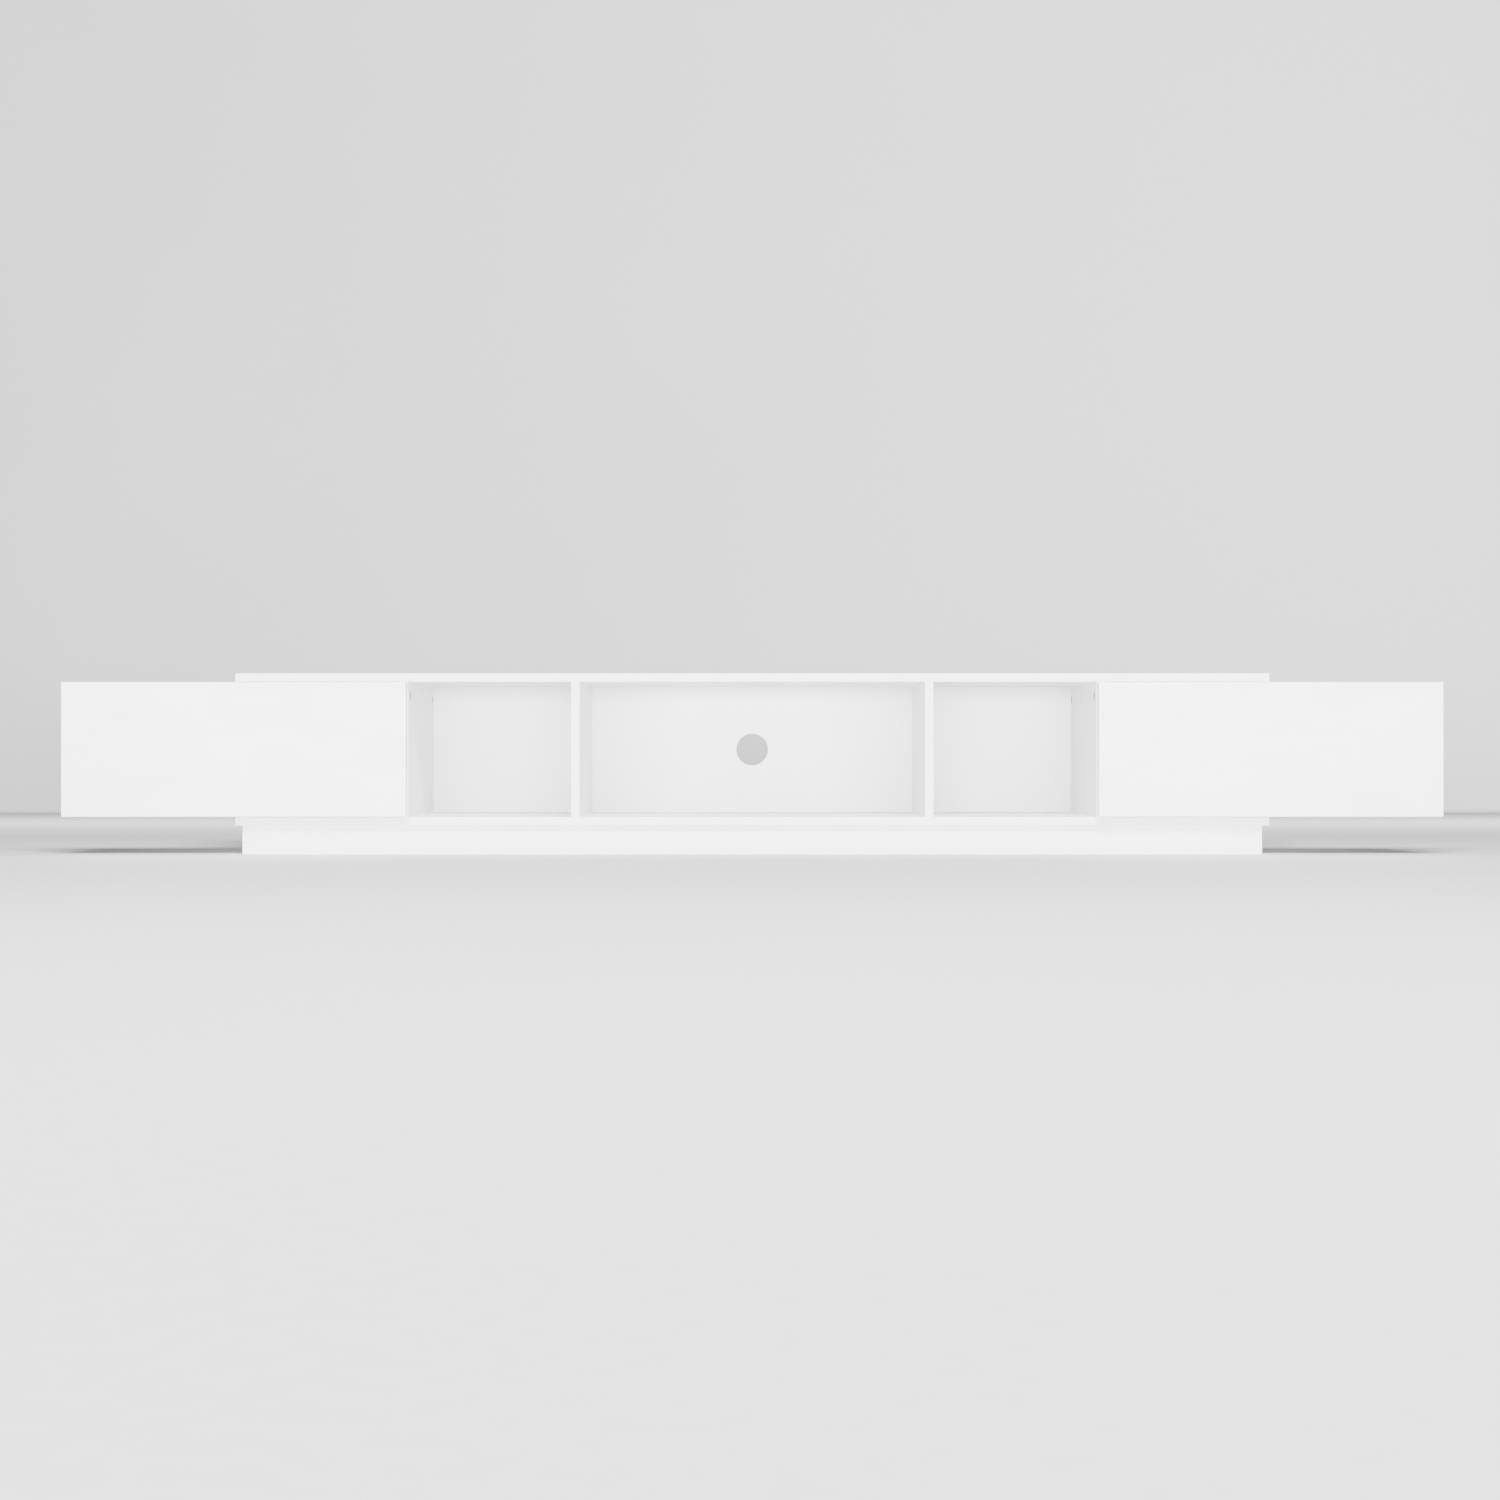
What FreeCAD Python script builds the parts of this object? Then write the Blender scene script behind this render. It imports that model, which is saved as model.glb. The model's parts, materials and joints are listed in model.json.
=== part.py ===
import FreeCAD, Part

import os

import Sketcher

# Low tv stand, white-faced board on a recessed plinth: five bays in a row and two handle-less
# doors on knife hinges. The doors are drawn fully open, folded back flat in front of the end bays.
# Frame: X to the right, Y to the back, Z up, origin on the floor under the carcass's centre.

doc = FreeCAD.newDocument("tv_stand")
sheet = doc.addObject("Spreadsheet::Sheet", "Sizes")
aliases = []


class Size:
    # A length held as an expression on the sheet, together with its present value.
    def __init__(self, text, value):
        self.text = text
        self.value = value

    def __add__(self, other):
        other = as_size(other)
        return Size(f"({self.text} + {other.text})", self.value + other.value)

    def __sub__(self, other):
        other = as_size(other)
        return Size(f"({self.text} - {other.text})", self.value - other.value)

    def __mul__(self, number):
        return Size(f"({self.text} * {number})", self.value * number)

    def __truediv__(self, number):
        return Size(f"({self.text} / {number})", self.value / number)

    def __neg__(self):
        return Size(f"(0 - {self.text})", -self.value)


def as_size(number):
    if isinstance(number, Size):
        return number
    return Size(str(float(number)), float(number))


def size(alias, value):
    aliases.append(alias)
    row = len(aliases)
    sheet.set(f"A{row}", alias)
    sheet.set(f"B{row}", str(value))
    sheet.setAlias(f"B{row}", alias)
    return Size(f"Sizes.{alias}", value)


ZERO = as_size(0)

# ---- driving dimensions, in millimetres ----

# carcass
overall_width = size("overall_width", 1800.0)
carcass_depth = size("carcass_depth", 400.0)
bay_height = size("bay_height", 235.0)
board = size("board_thickness", 15.0)
edge_round = size("edge_rounding", 1.0)
inner_divider_x = size("inner_divider_face", 300.5)
outer_divider_x = size("outer_divider_face", 598.5)

# back panels, held in grooves
back_thickness = size("back_thickness", 3.0)
back_inset = size("back_inset", 10.0)
back_seat = size("back_seat", 4.7)
groove_width = size("groove_width", 3.2)
groove_depth = size("groove_depth", 5.0)
cable_hole_radius = size("cable_hole_radius", 30.0)

# plinth
plinth_height = size("plinth_height", 50.0)
plinth_inset = size("plinth_inset", 11.0)
brace_x = size("plinth_brace_offset", 450.0)
plinth_dowel_low = size("plinth_dowel_low", 15.0)
plinth_dowel_high = size("plinth_dowel_high", 35.0)

# doors
door_thickness = size("door_thickness", 15.0)
pivot_shift = size("pivot_shift", 1.5)
door_side_gap = size("door_side_gap", 1.0)
door_end_gap = size("door_end_gap", 0.5)
door_face_gap = size("door_face_gap", 2.0)

# joining hardware
fit_gap = size("fit_gap", 0.05)
fitting_edge = size("fitting_edge_distance", 28.5)
dowel_edge = size("dowel_edge_distance", 60.5)
cam_drop = size("cam_drop", 24.0)
cam_radius = size("cam_radius", 7.5)
cam_end_wall = size("cam_end_wall", 0.9)
cam_slot_half = size("cam_slot_half_width", 3.8)
cam_slot_below = size("cam_slot_below_centre", 5.0)
drive_length = size("cam_drive_length", 9.0)
drive_width = size("cam_drive_width", 1.4)
drive_depth = size("cam_drive_depth", 1.6)
bolt_thread_radius = size("bolt_thread_radius", 2.5)
bolt_thread_length = size("bolt_thread_length", 10.5)
bolt_head_radius = size("bolt_head_radius", 3.4)
bolt_head_half = size("bolt_head_half_height", 2.5)
bolt_collar = size("bolt_collar_height", 2.0)
bolt_shank_radius = size("bolt_shank_radius", 2.4)
dowel_radius = size("dowel_radius", 4.0)
dowel_in_board = size("dowel_in_board", 10.0)
dowel_in_upright = size("dowel_in_upright", 20.0)
plinth_dowel_radius = size("plinth_dowel_radius", 3.0)
plinth_dowel_in_rail = size("plinth_dowel_in_rail", 9.0)
plinth_dowel_in_cross = size("plinth_dowel_in_cross", 19.0)
end_play = size("hole_end_play", 0.5)
screw_head_radius = size("long_screw_head_radius", 5.0)
screw_head_height = size("long_screw_head_height", 3.0)
screw_neck_radius = size("long_screw_neck_radius", 3.5)
screw_core_radius = size("long_screw_core_radius", 2.5)
screw_core_length = size("long_screw_core_length", 34.0)

# plinth brackets
bracket_near_x = size("bracket_near_offset", 250.0)
bracket_far_x = size("bracket_far_offset", 700.0)
bracket_leg = size("bracket_leg", 25.0)
bracket_sheet = size("bracket_sheet", 2.0)
bracket_width = size("bracket_width", 20.0)
bracket_hole = size("bracket_hole_distance", 15.0)
small_screw_radius = size("small_screw_radius", 1.5)
small_screw_length = size("small_screw_length", 12.0)
small_head_radius = size("small_head_radius", 3.4)
small_head_height = size("small_head_height", 2.0)

# knife hinges
leaf_thickness = size("leaf_thickness", 2.0)
leaf_half_width = size("leaf_half_width", 3.5)
leaf_margin = size("leaf_margin", 0.5)
frame_leaf_length = size("frame_leaf_length", 22.0)
frame_leaf_hole_a = size("frame_leaf_first_hole", 6.0)
frame_leaf_hole_b = size("frame_leaf_second_hole", 17.0)
frame_leaf_hole_x = size("frame_leaf_hole_offset", 7.0)
door_leaf_length = size("door_leaf_length", 36.0)
door_leaf_hole_a = size("door_leaf_first_hole", 14.0)
door_leaf_hole_b = size("door_leaf_second_hole", 28.0)
mortise_gap = size("mortise_gap", 0.1)
pin_radius = size("pin_radius", 1.5)
leaf_head_radius = size("leaf_head_radius", 2.5)
leaf_head_height = size("leaf_head_height", 1.2)
leaf_screw_length = size("leaf_screw_length", 10.0)

# ---- places worked out from the driving dimensions ----

half_width = overall_width / 2
half_depth = carcass_depth / 2
front_y = -half_depth
bay_floor_z = plinth_height + board
bay_ceiling_z = bay_floor_z + bay_height
board_middle = board / 2
side_face_x = half_width - board
cam_length = board_middle + cam_slot_half + cam_end_wall

# each door spans from its pivot to the carcass's centre, less a gap at either end
pivot_x = outer_divider_x + pivot_shift
door_width = pivot_x - door_side_gap * 2
door_height = bay_height - door_end_gap * 2
door_front_y = front_y - door_face_gap - door_thickness
pivot_y = front_y - door_face_gap - door_thickness / 2
pivot_standoff = door_face_gap + door_thickness / 2
door_middle = door_thickness / 2

fitting_ys = [fitting_edge, carcass_depth - fitting_edge]
dowel_ys = [dowel_edge, carcass_depth - dowel_edge]
back_centre_y = half_depth - back_inset - groove_width / 2
upright_xs = [side_face_x, outer_divider_x, inner_divider_x]
upright_lines = [inner_face + board_middle for inner_face in upright_xs]

plinth_half_width = half_width - plinth_inset
plinth_front_y = front_y + plinth_inset
plinth_depth = carcass_depth - plinth_inset * 2
cross_length = plinth_depth - board * 2
cross_front_y = plinth_front_y + board
cross_back_y = cross_front_y + cross_length
bracket_xs = [-bracket_far_x, -bracket_near_x, bracket_near_x, bracket_far_x]

frame_leaf_right = outer_divider_x + board - leaf_margin - pivot_x


# ---- helpers ----


def origin_plane(body, role):
    return next(f for f in body.Origin.OriginFeatures if f.Role == role)


def new_body(label):
    body = doc.addObject("PartDesign::Body", label)
    body.Label = label
    return body


def new_sketch(body, name, role, offset=ZERO):
    sketch = body.newObject("Sketcher::SketchObject", name)
    sketch.AttachmentSupport = [(origin_plane(body, role), "")]
    sketch.MapMode = "FlatFace"
    sketch.setExpression(".AttachmentOffset.Base.z", offset.text)
    return sketch


def set_distance(sketch, kind, first, second, length, name):
    index = sketch.addConstraint(Sketcher.Constraint(kind, *first, *second, length.value))
    sketch.renameConstraint(index, name)
    sketch.setExpression(f"Constraints.{name}", length.text)


def add_rectangle(sketch, name, left, low, width, height):
    x0, y0 = left.value, low.value
    x1, y1 = x0 + width.value, y0 + height.value
    corners = [FreeCAD.Vector(x, y, 0) for x, y in ((x0, y0), (x1, y0), (x1, y1), (x0, y1))]
    first = sketch.GeometryCount
    for i in range(4):
        sketch.addGeometry(Part.LineSegment(corners[i], corners[(i + 1) % 4]), False)
    for i in range(4):
        joint = Sketcher.Constraint("Coincident", first + i, 2, first + (i + 1) % 4, 1)
        sketch.addConstraint(joint)
    for i in (0, 2):
        sketch.addConstraint(Sketcher.Constraint("Horizontal", first + i))
        sketch.addConstraint(Sketcher.Constraint("Vertical", first + i + 1))
    set_distance(sketch, "DistanceX", (-1, 1), (first, 1), left, name + "_left")
    set_distance(sketch, "DistanceY", (-1, 1), (first, 1), low, name + "_low")
    set_distance(sketch, "DistanceX", (first, 1), (first, 2), width, name + "_width")
    set_distance(sketch, "DistanceY", (first + 1, 1), (first + 1, 2), height, name + "_height")


def add_circles(sketch, name, centres, radius):
    first = sketch.GeometryCount
    for i, (x, y) in enumerate(centres):
        centre = FreeCAD.Vector(x.value, y.value, 0)
        geometry = sketch.addGeometry(Part.Circle(centre, FreeCAD.Vector(0, 0, 1), radius.value))
        set_distance(sketch, "DistanceX", (-1, 1), (geometry, 3), x, f"{name}_x{i + 1}")
        set_distance(sketch, "DistanceY", (-1, 1), (geometry, 3), y, f"{name}_y{i + 1}")
        if i:
            sketch.addConstraint(Sketcher.Constraint("Equal", first, geometry))
    index = sketch.addConstraint(Sketcher.Constraint("Radius", first, radius.value))
    sketch.renameConstraint(index, name + "_radius")
    sketch.setExpression(f"Constraints.{name}_radius", radius.text)


def add_feature(body, kind, name, sketch, length, forwards):
    # forwards follows the sketch's normal; a pad or pocket set the other way is reversed
    feature = body.newObject("PartDesign::" + kind, name)
    feature.Profile = sketch
    feature.Reversed = forwards != (kind == "Pad")
    feature.setExpression("Length", length.text)
    return feature


def block(label, role, width, height, length, forwards=True):
    body = new_body(label)
    sketch = new_sketch(body, "outline", role)
    add_rectangle(sketch, "outline", ZERO, ZERO, width, height)
    add_feature(body, "Pad", "blank", sketch, length, forwards)
    return body


def drill(body, name, role, offset, centres, radius, depth, forwards):
    sketch = new_sketch(body, name + "_sketch", role, offset)
    add_circles(sketch, name, centres, radius)
    return add_feature(body, "Pocket", name, sketch, depth, forwards)


def mill(body, name, role, offset, rectangles, depth, forwards):
    sketch = new_sketch(body, name + "_sketch", role, offset)
    for i, rectangle in enumerate(rectangles):
        add_rectangle(sketch, f"{name}{i + 1}", *rectangle)
    return add_feature(body, "Pocket", name, sketch, depth, forwards)


def round_edges(body, wanted):
    # rounds the edges of the body's last feature that the test picks out
    doc.recompute()
    base = body.Tip
    names = [f"Edge{i + 1}" for i, edge in enumerate(base.Shape.Edges) if wanted(edge)]
    fillet = body.newObject("PartDesign::Fillet", "edge_rounding")
    fillet.Base = (base, names)
    fillet.setExpression("Radius", edge_round.text)


def every_edge(edge):
    return True


def front_upright_edge(edge):
    ends = [vertex.Point for vertex in edge.Vertexes]
    return all(abs(point.y) < 0.01 for point in ends) and abs(ends[0].z - ends[1].z) > 1


def place(thing, x, y, z):
    for axis, length in zip("xyz", (x, y, z)):
        thing.setExpression(f".Placement.Base.{axis}", length.text)


def mirrored(label, source):
    copy = doc.addObject("Part::Mirroring", label)
    copy.Label = label
    copy.Source = source
    copy.Normal = FreeCAD.Vector(1, 0, 0)
    return copy


def copies(label, spots):
    # spots holds (pattern, x, y, z, rotation); the node is all the copies together
    links = []
    for i, (pattern, x, y, z, rotation) in enumerate(spots):
        link = doc.addObject("App::Link", f"{label}_{i + 1}")
        link.LinkedObject = pattern
        link.Placement = FreeCAD.Placement(FreeCAD.Vector(), rotation)
        place(link, x, y, z)
        links.append(link)
    compound = doc.addObject("Part::Compound", label)
    compound.Label = label
    compound.Links = links
    return compound


def box(name, x, y, z, dx, dy, dz):
    solid = doc.addObject("Part::Box", name)
    for prop, length in (("Length", dx), ("Width", dy), ("Height", dz)):
        solid.setExpression(prop, length.text)
    place(solid, x, y, z)
    return solid


def cylinder(name, x, y, z, radius, height):
    solid = doc.addObject("Part::Cylinder", name)
    solid.setExpression("Radius", radius.text)
    solid.setExpression("Height", height.text)
    place(solid, x, y, z)
    return solid


def fuse(name, solids):
    fusion = doc.addObject("Part::MultiFuse", name)
    fusion.Shapes = solids
    fusion.Refine = True
    return fusion


def cut(name, base, tools):
    result = doc.addObject("Part::Cut", name)
    result.Base = base
    result.Tool = tools[0] if len(tools) == 1 else fuse(name + "_tools", tools)
    return result


def stack(name, rounds):
    # a turned piece: rounds holds (radius, bottom z, height) for each diameter
    solids = [
        cylinder(f"{name}_{i + 1}", ZERO, ZERO, low, radius, height)
        for i, (radius, low, height) in enumerate(rounds)
    ]
    return fuse(name, solids)


STRAIGHT = FreeCAD.Rotation()
ABOUT_X = FreeCAD.Rotation(FreeCAD.Vector(1, 0, 0), 180)
ABOUT_Y = FreeCAD.Rotation(FreeCAD.Vector(0, 1, 0), 180)
ABOUT_Z = FreeCAD.Rotation(FreeCAD.Vector(0, 0, 1), 180)
Z_TO_X = FreeCAD.Rotation(FreeCAD.Vector(0, 1, 0), 90)
Z_TO_MINUS_X = FreeCAD.Rotation(FreeCAD.Vector(0, 1, 0), -90).multiply(ABOUT_Z)
Z_TO_Y = FreeCAD.Rotation(FreeCAD.Vector(1, 0, 0), -90)
Z_TO_MINUS_Y = FreeCAD.Rotation(FreeCAD.Vector(1, 0, 0), 90)
SIDES = (-1, 1)


def across(distance, side):
    # a place at this distance left (-1) or right (1) of the middle
    return distance if side > 0 else -distance


def along_board(distance, side):
    # the same place, measured from the board's left end
    return half_width + distance if side > 0 else half_width - distance


# ---- top and bottom boards ----

bolt_spots = [(along_board(x, side), y) for side in SIDES for x in upright_lines for y in fitting_ys]
dowel_spots = [(along_board(x, side), y) for side in SIDES for x in upright_lines for y in dowel_ys]
back_groove_y = carcass_depth - back_inset - groove_width
back_groove = (
    board - groove_depth,
    back_groove_y,
    overall_width - board * 2 + groove_depth * 2,
    groove_width,
)
mortise_width = frame_leaf_right + leaf_half_width + mortise_gap * 2
right_mortise_x = half_width + pivot_x - leaf_half_width - mortise_gap
left_mortise_x = half_width - pivot_x - frame_leaf_right - mortise_gap
leaf_mortises = [
    (x, ZERO, mortise_width, frame_leaf_length + mortise_gap)
    for x in (left_mortise_x, right_mortise_x)
]
frame_leaf_holes = [frame_leaf_hole_a, frame_leaf_hole_b]
leaf_screw_spots = [
    (along_board(pivot_x + frame_leaf_hole_x, side), y) for side in SIDES for y in frame_leaf_holes
]
leaf_screw_depth = leaf_screw_length + end_play


def long_board(label, z, face, inwards):
    # face is the height, in the board's own frame, of the face that looks into the bays
    body = block(label, "XY_Plane", overall_width, carcass_depth, board)
    round_edges(body, every_edge)
    dowel_bore = dowel_radius + fit_gap
    dowel_depth = dowel_in_board + end_play
    drill(body, "dowel_bores", "XY_Plane", face, dowel_spots, dowel_bore, dowel_depth, inwards)
    mill(body, "back_groove", "XY_Plane", face, [back_groove], groove_depth, inwards)
    mill(body, "leaf_mortises", "XY_Plane", face, leaf_mortises, leaf_thickness, inwards)
    hole = small_screw_radius + fit_gap
    drill(body, "leaf_bores", "XY_Plane", face, leaf_screw_spots, hole, leaf_screw_depth, inwards)
    place(body, -half_width, front_y, z)
    return body


top_panel = long_board("top_panel", bay_ceiling_z, ZERO, True)
drill(
    top_panel,
    "bolt_bores",
    "XY_Plane",
    ZERO,
    bolt_spots,
    bolt_thread_radius + fit_gap,
    bolt_thread_length + end_play,
    True,
)

bottom_panel = long_board("bottom_panel", plinth_height, board, False)
drill(
    bottom_panel,
    "neck_bores",
    "XY_Plane",
    ZERO,
    bolt_spots,
    screw_neck_radius + fit_gap,
    board,
    True,
)
drill(
    bottom_panel,
    "head_bores",
    "XY_Plane",
    ZERO,
    bolt_spots,
    screw_head_radius + fit_gap,
    screw_head_height,
    True,
)
bracket_rows = [
    plinth_inset + board + bracket_hole,
    carcass_depth - plinth_inset - board - bracket_hole,
]
drill(
    bottom_panel,
    "bracket_bores",
    "XY_Plane",
    ZERO,
    [(half_width + x, y) for x in bracket_xs for y in bracket_rows],
    small_screw_radius + fit_gap,
    small_screw_length,
    True,
)

# ---- uprights: two sides and four dividers ----


def upright(label, left_x, cam_side, grooved_sides):
    # cam_side and grooved_sides: -1 is the left face, 1 the right face
    body = block(label, "YZ_Plane", carcass_depth, bay_height, board)
    round_edges(body, front_upright_edge)
    groove_lefts = {-1: ZERO, 1: board - groove_depth}
    grooves = [(groove_lefts[side], back_groove_y, groove_depth, groove_width) for side in grooved_sides]
    mill(body, "back_grooves", "XY_Plane", ZERO, grooves, bay_height, True)
    cam_face = board if cam_side > 0 else ZERO
    cam_spots = [(y, bay_height - cam_drop) for y in fitting_ys]
    cam_depth = cam_length + end_play
    drill(body, "cam_bores", "YZ_Plane", cam_face, cam_spots, cam_radius, cam_depth, cam_side < 0)
    fitting_spots = [(board_middle, y) for y in fitting_ys]
    bolt_bore = bolt_head_radius + fit_gap * 2
    drill(body, "bolt_bores", "XY_Plane", bay_height, fitting_spots, bolt_bore, cam_drop, False)
    core = screw_core_radius + fit_gap
    core_depth = screw_core_length + end_play
    drill(body, "core_bores", "XY_Plane", ZERO, fitting_spots, core, core_depth, True)
    spots = [(board_middle, y) for y in dowel_ys]
    bore = dowel_radius + fit_gap
    depth = dowel_in_upright + end_play
    drill(body, "top_dowels", "XY_Plane", bay_height, spots, bore, depth, False)
    drill(body, "bottom_dowels", "XY_Plane", ZERO, spots, bore, depth, True)
    place(body, left_x, front_y, bay_floor_z)
    return body


left_side_panel = upright("left_side_panel", -half_width, 1, [1])
left_outer_divider = upright("left_outer_divider", -outer_divider_x - board, 1, [-1, 1])
left_inner_divider = upright("left_inner_divider", -inner_divider_x - board, -1, [-1, 1])
mirrored("right_side_panel", left_side_panel)
mirrored("right_outer_divider", left_outer_divider)
mirrored("right_inner_divider", left_inner_divider)

# ---- back panels ----


def back_panel(label, left_face, right_face):
    width = right_face - left_face + back_seat * 2
    height = bay_height + back_seat * 2
    body = block(label, "XZ_Plane", width, height, back_thickness, False)
    place(body, left_face - back_seat, back_centre_y - back_thickness / 2, bay_floor_z - back_seat)
    return body


left_end_back = back_panel("left_end_back", -side_face_x, -outer_divider_x - board)
left_back = back_panel("left_back", -outer_divider_x, -inner_divider_x - board)
centre_back = back_panel("centre_back", -inner_divider_x, inner_divider_x)
mirrored("right_back", left_back)
mirrored("right_end_back", left_end_back)
hole_centre = (inner_divider_x + back_seat, bay_height / 2 + back_seat)
drill(
    centre_back,
    "cable_hole",
    "XZ_Plane",
    ZERO,
    [hole_centre],
    cable_hole_radius,
    back_thickness,
    False,
)

# ---- plinth: two long rails, two ends and three braces between them ----

cross_lines = [-plinth_half_width + board_middle, -brace_x, ZERO, brace_x]
cross_lines.append(plinth_half_width - board_middle)
dowel_heights = [plinth_dowel_low, plinth_dowel_high]
plinth_bore = plinth_dowel_radius + fit_gap
bracket_screw_z = plinth_height - bracket_hole


def plinth_rail(label, y, face, inwards):
    # face is how far the sketch plane for the rail's inner face lies along its normal, which is -Y
    body = block(label, "XZ_Plane", plinth_half_width * 2, plinth_height, board, False)
    spots = [(plinth_half_width + x, z) for x in cross_lines for z in dowel_heights]
    depth = plinth_dowel_in_rail + end_play
    drill(body, "dowel_bores", "XZ_Plane", face, spots, plinth_bore, depth, inwards)
    screws = [(plinth_half_width + x, bracket_screw_z) for x in bracket_xs]
    hole = small_screw_radius + fit_gap
    drill(body, "bracket_bores", "XZ_Plane", face, screws, hole, small_screw_length, inwards)
    place(body, -plinth_half_width, y, ZERO)
    return body


plinth_rail("plinth_front_rail", plinth_front_y, -board, True)
plinth_rail("plinth_back_rail", cross_back_y, ZERO, False)


def plinth_cross(label, line):
    body = block(label, "YZ_Plane", cross_length, plinth_height, board)
    spots = [(board_middle, z) for z in dowel_heights]
    depth = plinth_dowel_in_cross + end_play
    drill(body, "front_dowels", "XZ_Plane", ZERO, spots, plinth_bore, depth, False)
    drill(body, "back_dowels", "XZ_Plane", -cross_length, spots, plinth_bore, depth, True)
    place(body, line - board_middle, cross_front_y, ZERO)
    return body


plinth_names = ["left_end", "left_brace", "centre_brace", "right_brace", "right_end"]
for plinth_name, cross_line in zip(plinth_names, cross_lines):
    plinth_cross("plinth_" + plinth_name, cross_line)

# ---- doors ----

right_door_panel = block("right_door_panel", "XY_Plane", door_width, door_thickness, door_height)
round_edges(right_door_panel, every_edge)
door_mortise = (
    ZERO,
    door_middle - leaf_half_width - mortise_gap,
    door_leaf_length + mortise_gap - door_side_gap,
    leaf_half_width * 2 + mortise_gap * 2,
)
door_leaf_spots = [(x - door_side_gap, door_middle) for x in (door_leaf_hole_a, door_leaf_hole_b)]
for end_name, end_z, end_inwards in (("upper", door_height, False), ("lower", ZERO, True)):
    mill(
        right_door_panel,
        end_name + "_mortise",
        "XY_Plane",
        end_z,
        [door_mortise],
        leaf_thickness,
        end_inwards,
    )
    drill(
        right_door_panel,
        end_name + "_leaf_screws",
        "XY_Plane",
        end_z,
        door_leaf_spots,
        small_screw_radius + fit_gap,
        leaf_screw_depth,
        end_inwards,
    )
place(right_door_panel, pivot_x + door_side_gap, door_front_y, bay_floor_z + door_end_gap)
mirrored("left_door_panel", right_door_panel)

# ---- knife hinges: the pivot is at each leaf's own origin ----


def leaf_holes(name, centres):
    # counterbored screw holes in a leaf, heads on its lower face
    tools = []
    for i, (x, y) in enumerate(centres):
        hole = small_screw_radius + fit_gap
        head = leaf_head_radius + fit_gap
        tools.append(cylinder(f"{name}_hole_{i + 1}", x, y, ZERO, hole, leaf_thickness))
        tools.append(cylinder(f"{name}_head_{i + 1}", x, y, ZERO, head, leaf_head_height))
    return tools


plate_width = frame_leaf_right + leaf_half_width
frame_leaf_blank = fuse(
    "frame_leaf_blank",
    [
        cylinder("frame_leaf_boss", ZERO, ZERO, ZERO, leaf_half_width, leaf_thickness),
        box(
            "frame_leaf_arm",
            -leaf_half_width,
            ZERO,
            ZERO,
            leaf_half_width * 2,
            pivot_standoff,
            leaf_thickness,
        ),
        box(
            "frame_leaf_plate",
            -leaf_half_width,
            pivot_standoff,
            ZERO,
            plate_width,
            frame_leaf_length,
            leaf_thickness,
        ),
    ],
)
frame_leaf_centres = [(frame_leaf_hole_x, pivot_standoff + y) for y in frame_leaf_holes]
pin_hole = cylinder("pin_hole", ZERO, ZERO, ZERO, pin_radius + fit_gap / 2, leaf_thickness)
frame_leaf = cut(
    "frame_leaf_pattern",
    frame_leaf_blank,
    [pin_hole] + leaf_holes("frame_leaf", frame_leaf_centres),
)
frame_leaf_left = mirrored("frame_leaf_left_pattern", frame_leaf)

door_leaf_blank = fuse(
    "door_leaf_blank",
    [
        cylinder("door_leaf_boss", ZERO, ZERO, ZERO, leaf_half_width, leaf_thickness),
        box(
            "door_leaf_bar",
            ZERO,
            -leaf_half_width,
            ZERO,
            door_leaf_length,
            leaf_half_width * 2,
            leaf_thickness,
        ),
    ],
)
door_leaf_centres = [(x, ZERO) for x in (door_leaf_hole_a, door_leaf_hole_b)]
pin_bore = cylinder("pin_bore", ZERO, ZERO, ZERO, pin_radius + fit_gap, leaf_thickness)
door_leaf = cut(
    "door_leaf_pattern",
    door_leaf_blank,
    [pin_bore] + leaf_holes("door_leaf", door_leaf_centres),
)
washer = cut(
    "washer_pattern",
    cylinder("washer_disc", ZERO, ZERO, ZERO, leaf_half_width, door_end_gap),
    [cylinder("washer_bore", ZERO, ZERO, ZERO, pin_radius + fit_gap, door_end_gap)],
)
pin_length = leaf_thickness * 2 + door_end_gap - fit_gap
pin = cylinder("pin_pattern", ZERO, ZERO, ZERO, pin_radius, pin_length)
leaf_screw = stack(
    "leaf_screw_pattern",
    [(leaf_head_radius, ZERO, leaf_head_height), (small_screw_radius, ZERO, leaf_screw_length)],
)

upper_leaf_z = bay_ceiling_z
lower_leaf_z = bay_floor_z
door_top_z = bay_ceiling_z - door_end_gap
door_bottom_z = bay_floor_z + door_end_gap
left_pivot_x = -pivot_x

copies(
    "frame_hinge_leaves",
    [
        (frame_leaf, pivot_x, pivot_y, upper_leaf_z, STRAIGHT),
        (frame_leaf_left, left_pivot_x, pivot_y, upper_leaf_z, STRAIGHT),
        (frame_leaf_left, pivot_x, pivot_y, lower_leaf_z, ABOUT_Y),
        (frame_leaf, left_pivot_x, pivot_y, lower_leaf_z, ABOUT_Y),
    ],
)
copies(
    "frame_leaf_screws",
    [
        (leaf_screw, across(pivot_x + frame_leaf_hole_x, side), front_y + y, z, turn)
        for side in SIDES
        for y in frame_leaf_holes
        for z, turn in ((upper_leaf_z, STRAIGHT), (lower_leaf_z, ABOUT_X))
    ],
)
copies(
    "hinge_pins",
    [
        (pin, across(pivot_x, side), pivot_y, z, turn)
        for side in SIDES
        for z, turn in (
            (upper_leaf_z + leaf_thickness, ABOUT_X),
            (lower_leaf_z - leaf_thickness, STRAIGHT),
        )
    ],
)
copies(
    "hinge_washers",
    [
        (washer, across(pivot_x, side), pivot_y, z, STRAIGHT)
        for side in SIDES
        for z in (door_top_z, bay_floor_z)
    ],
)
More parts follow.
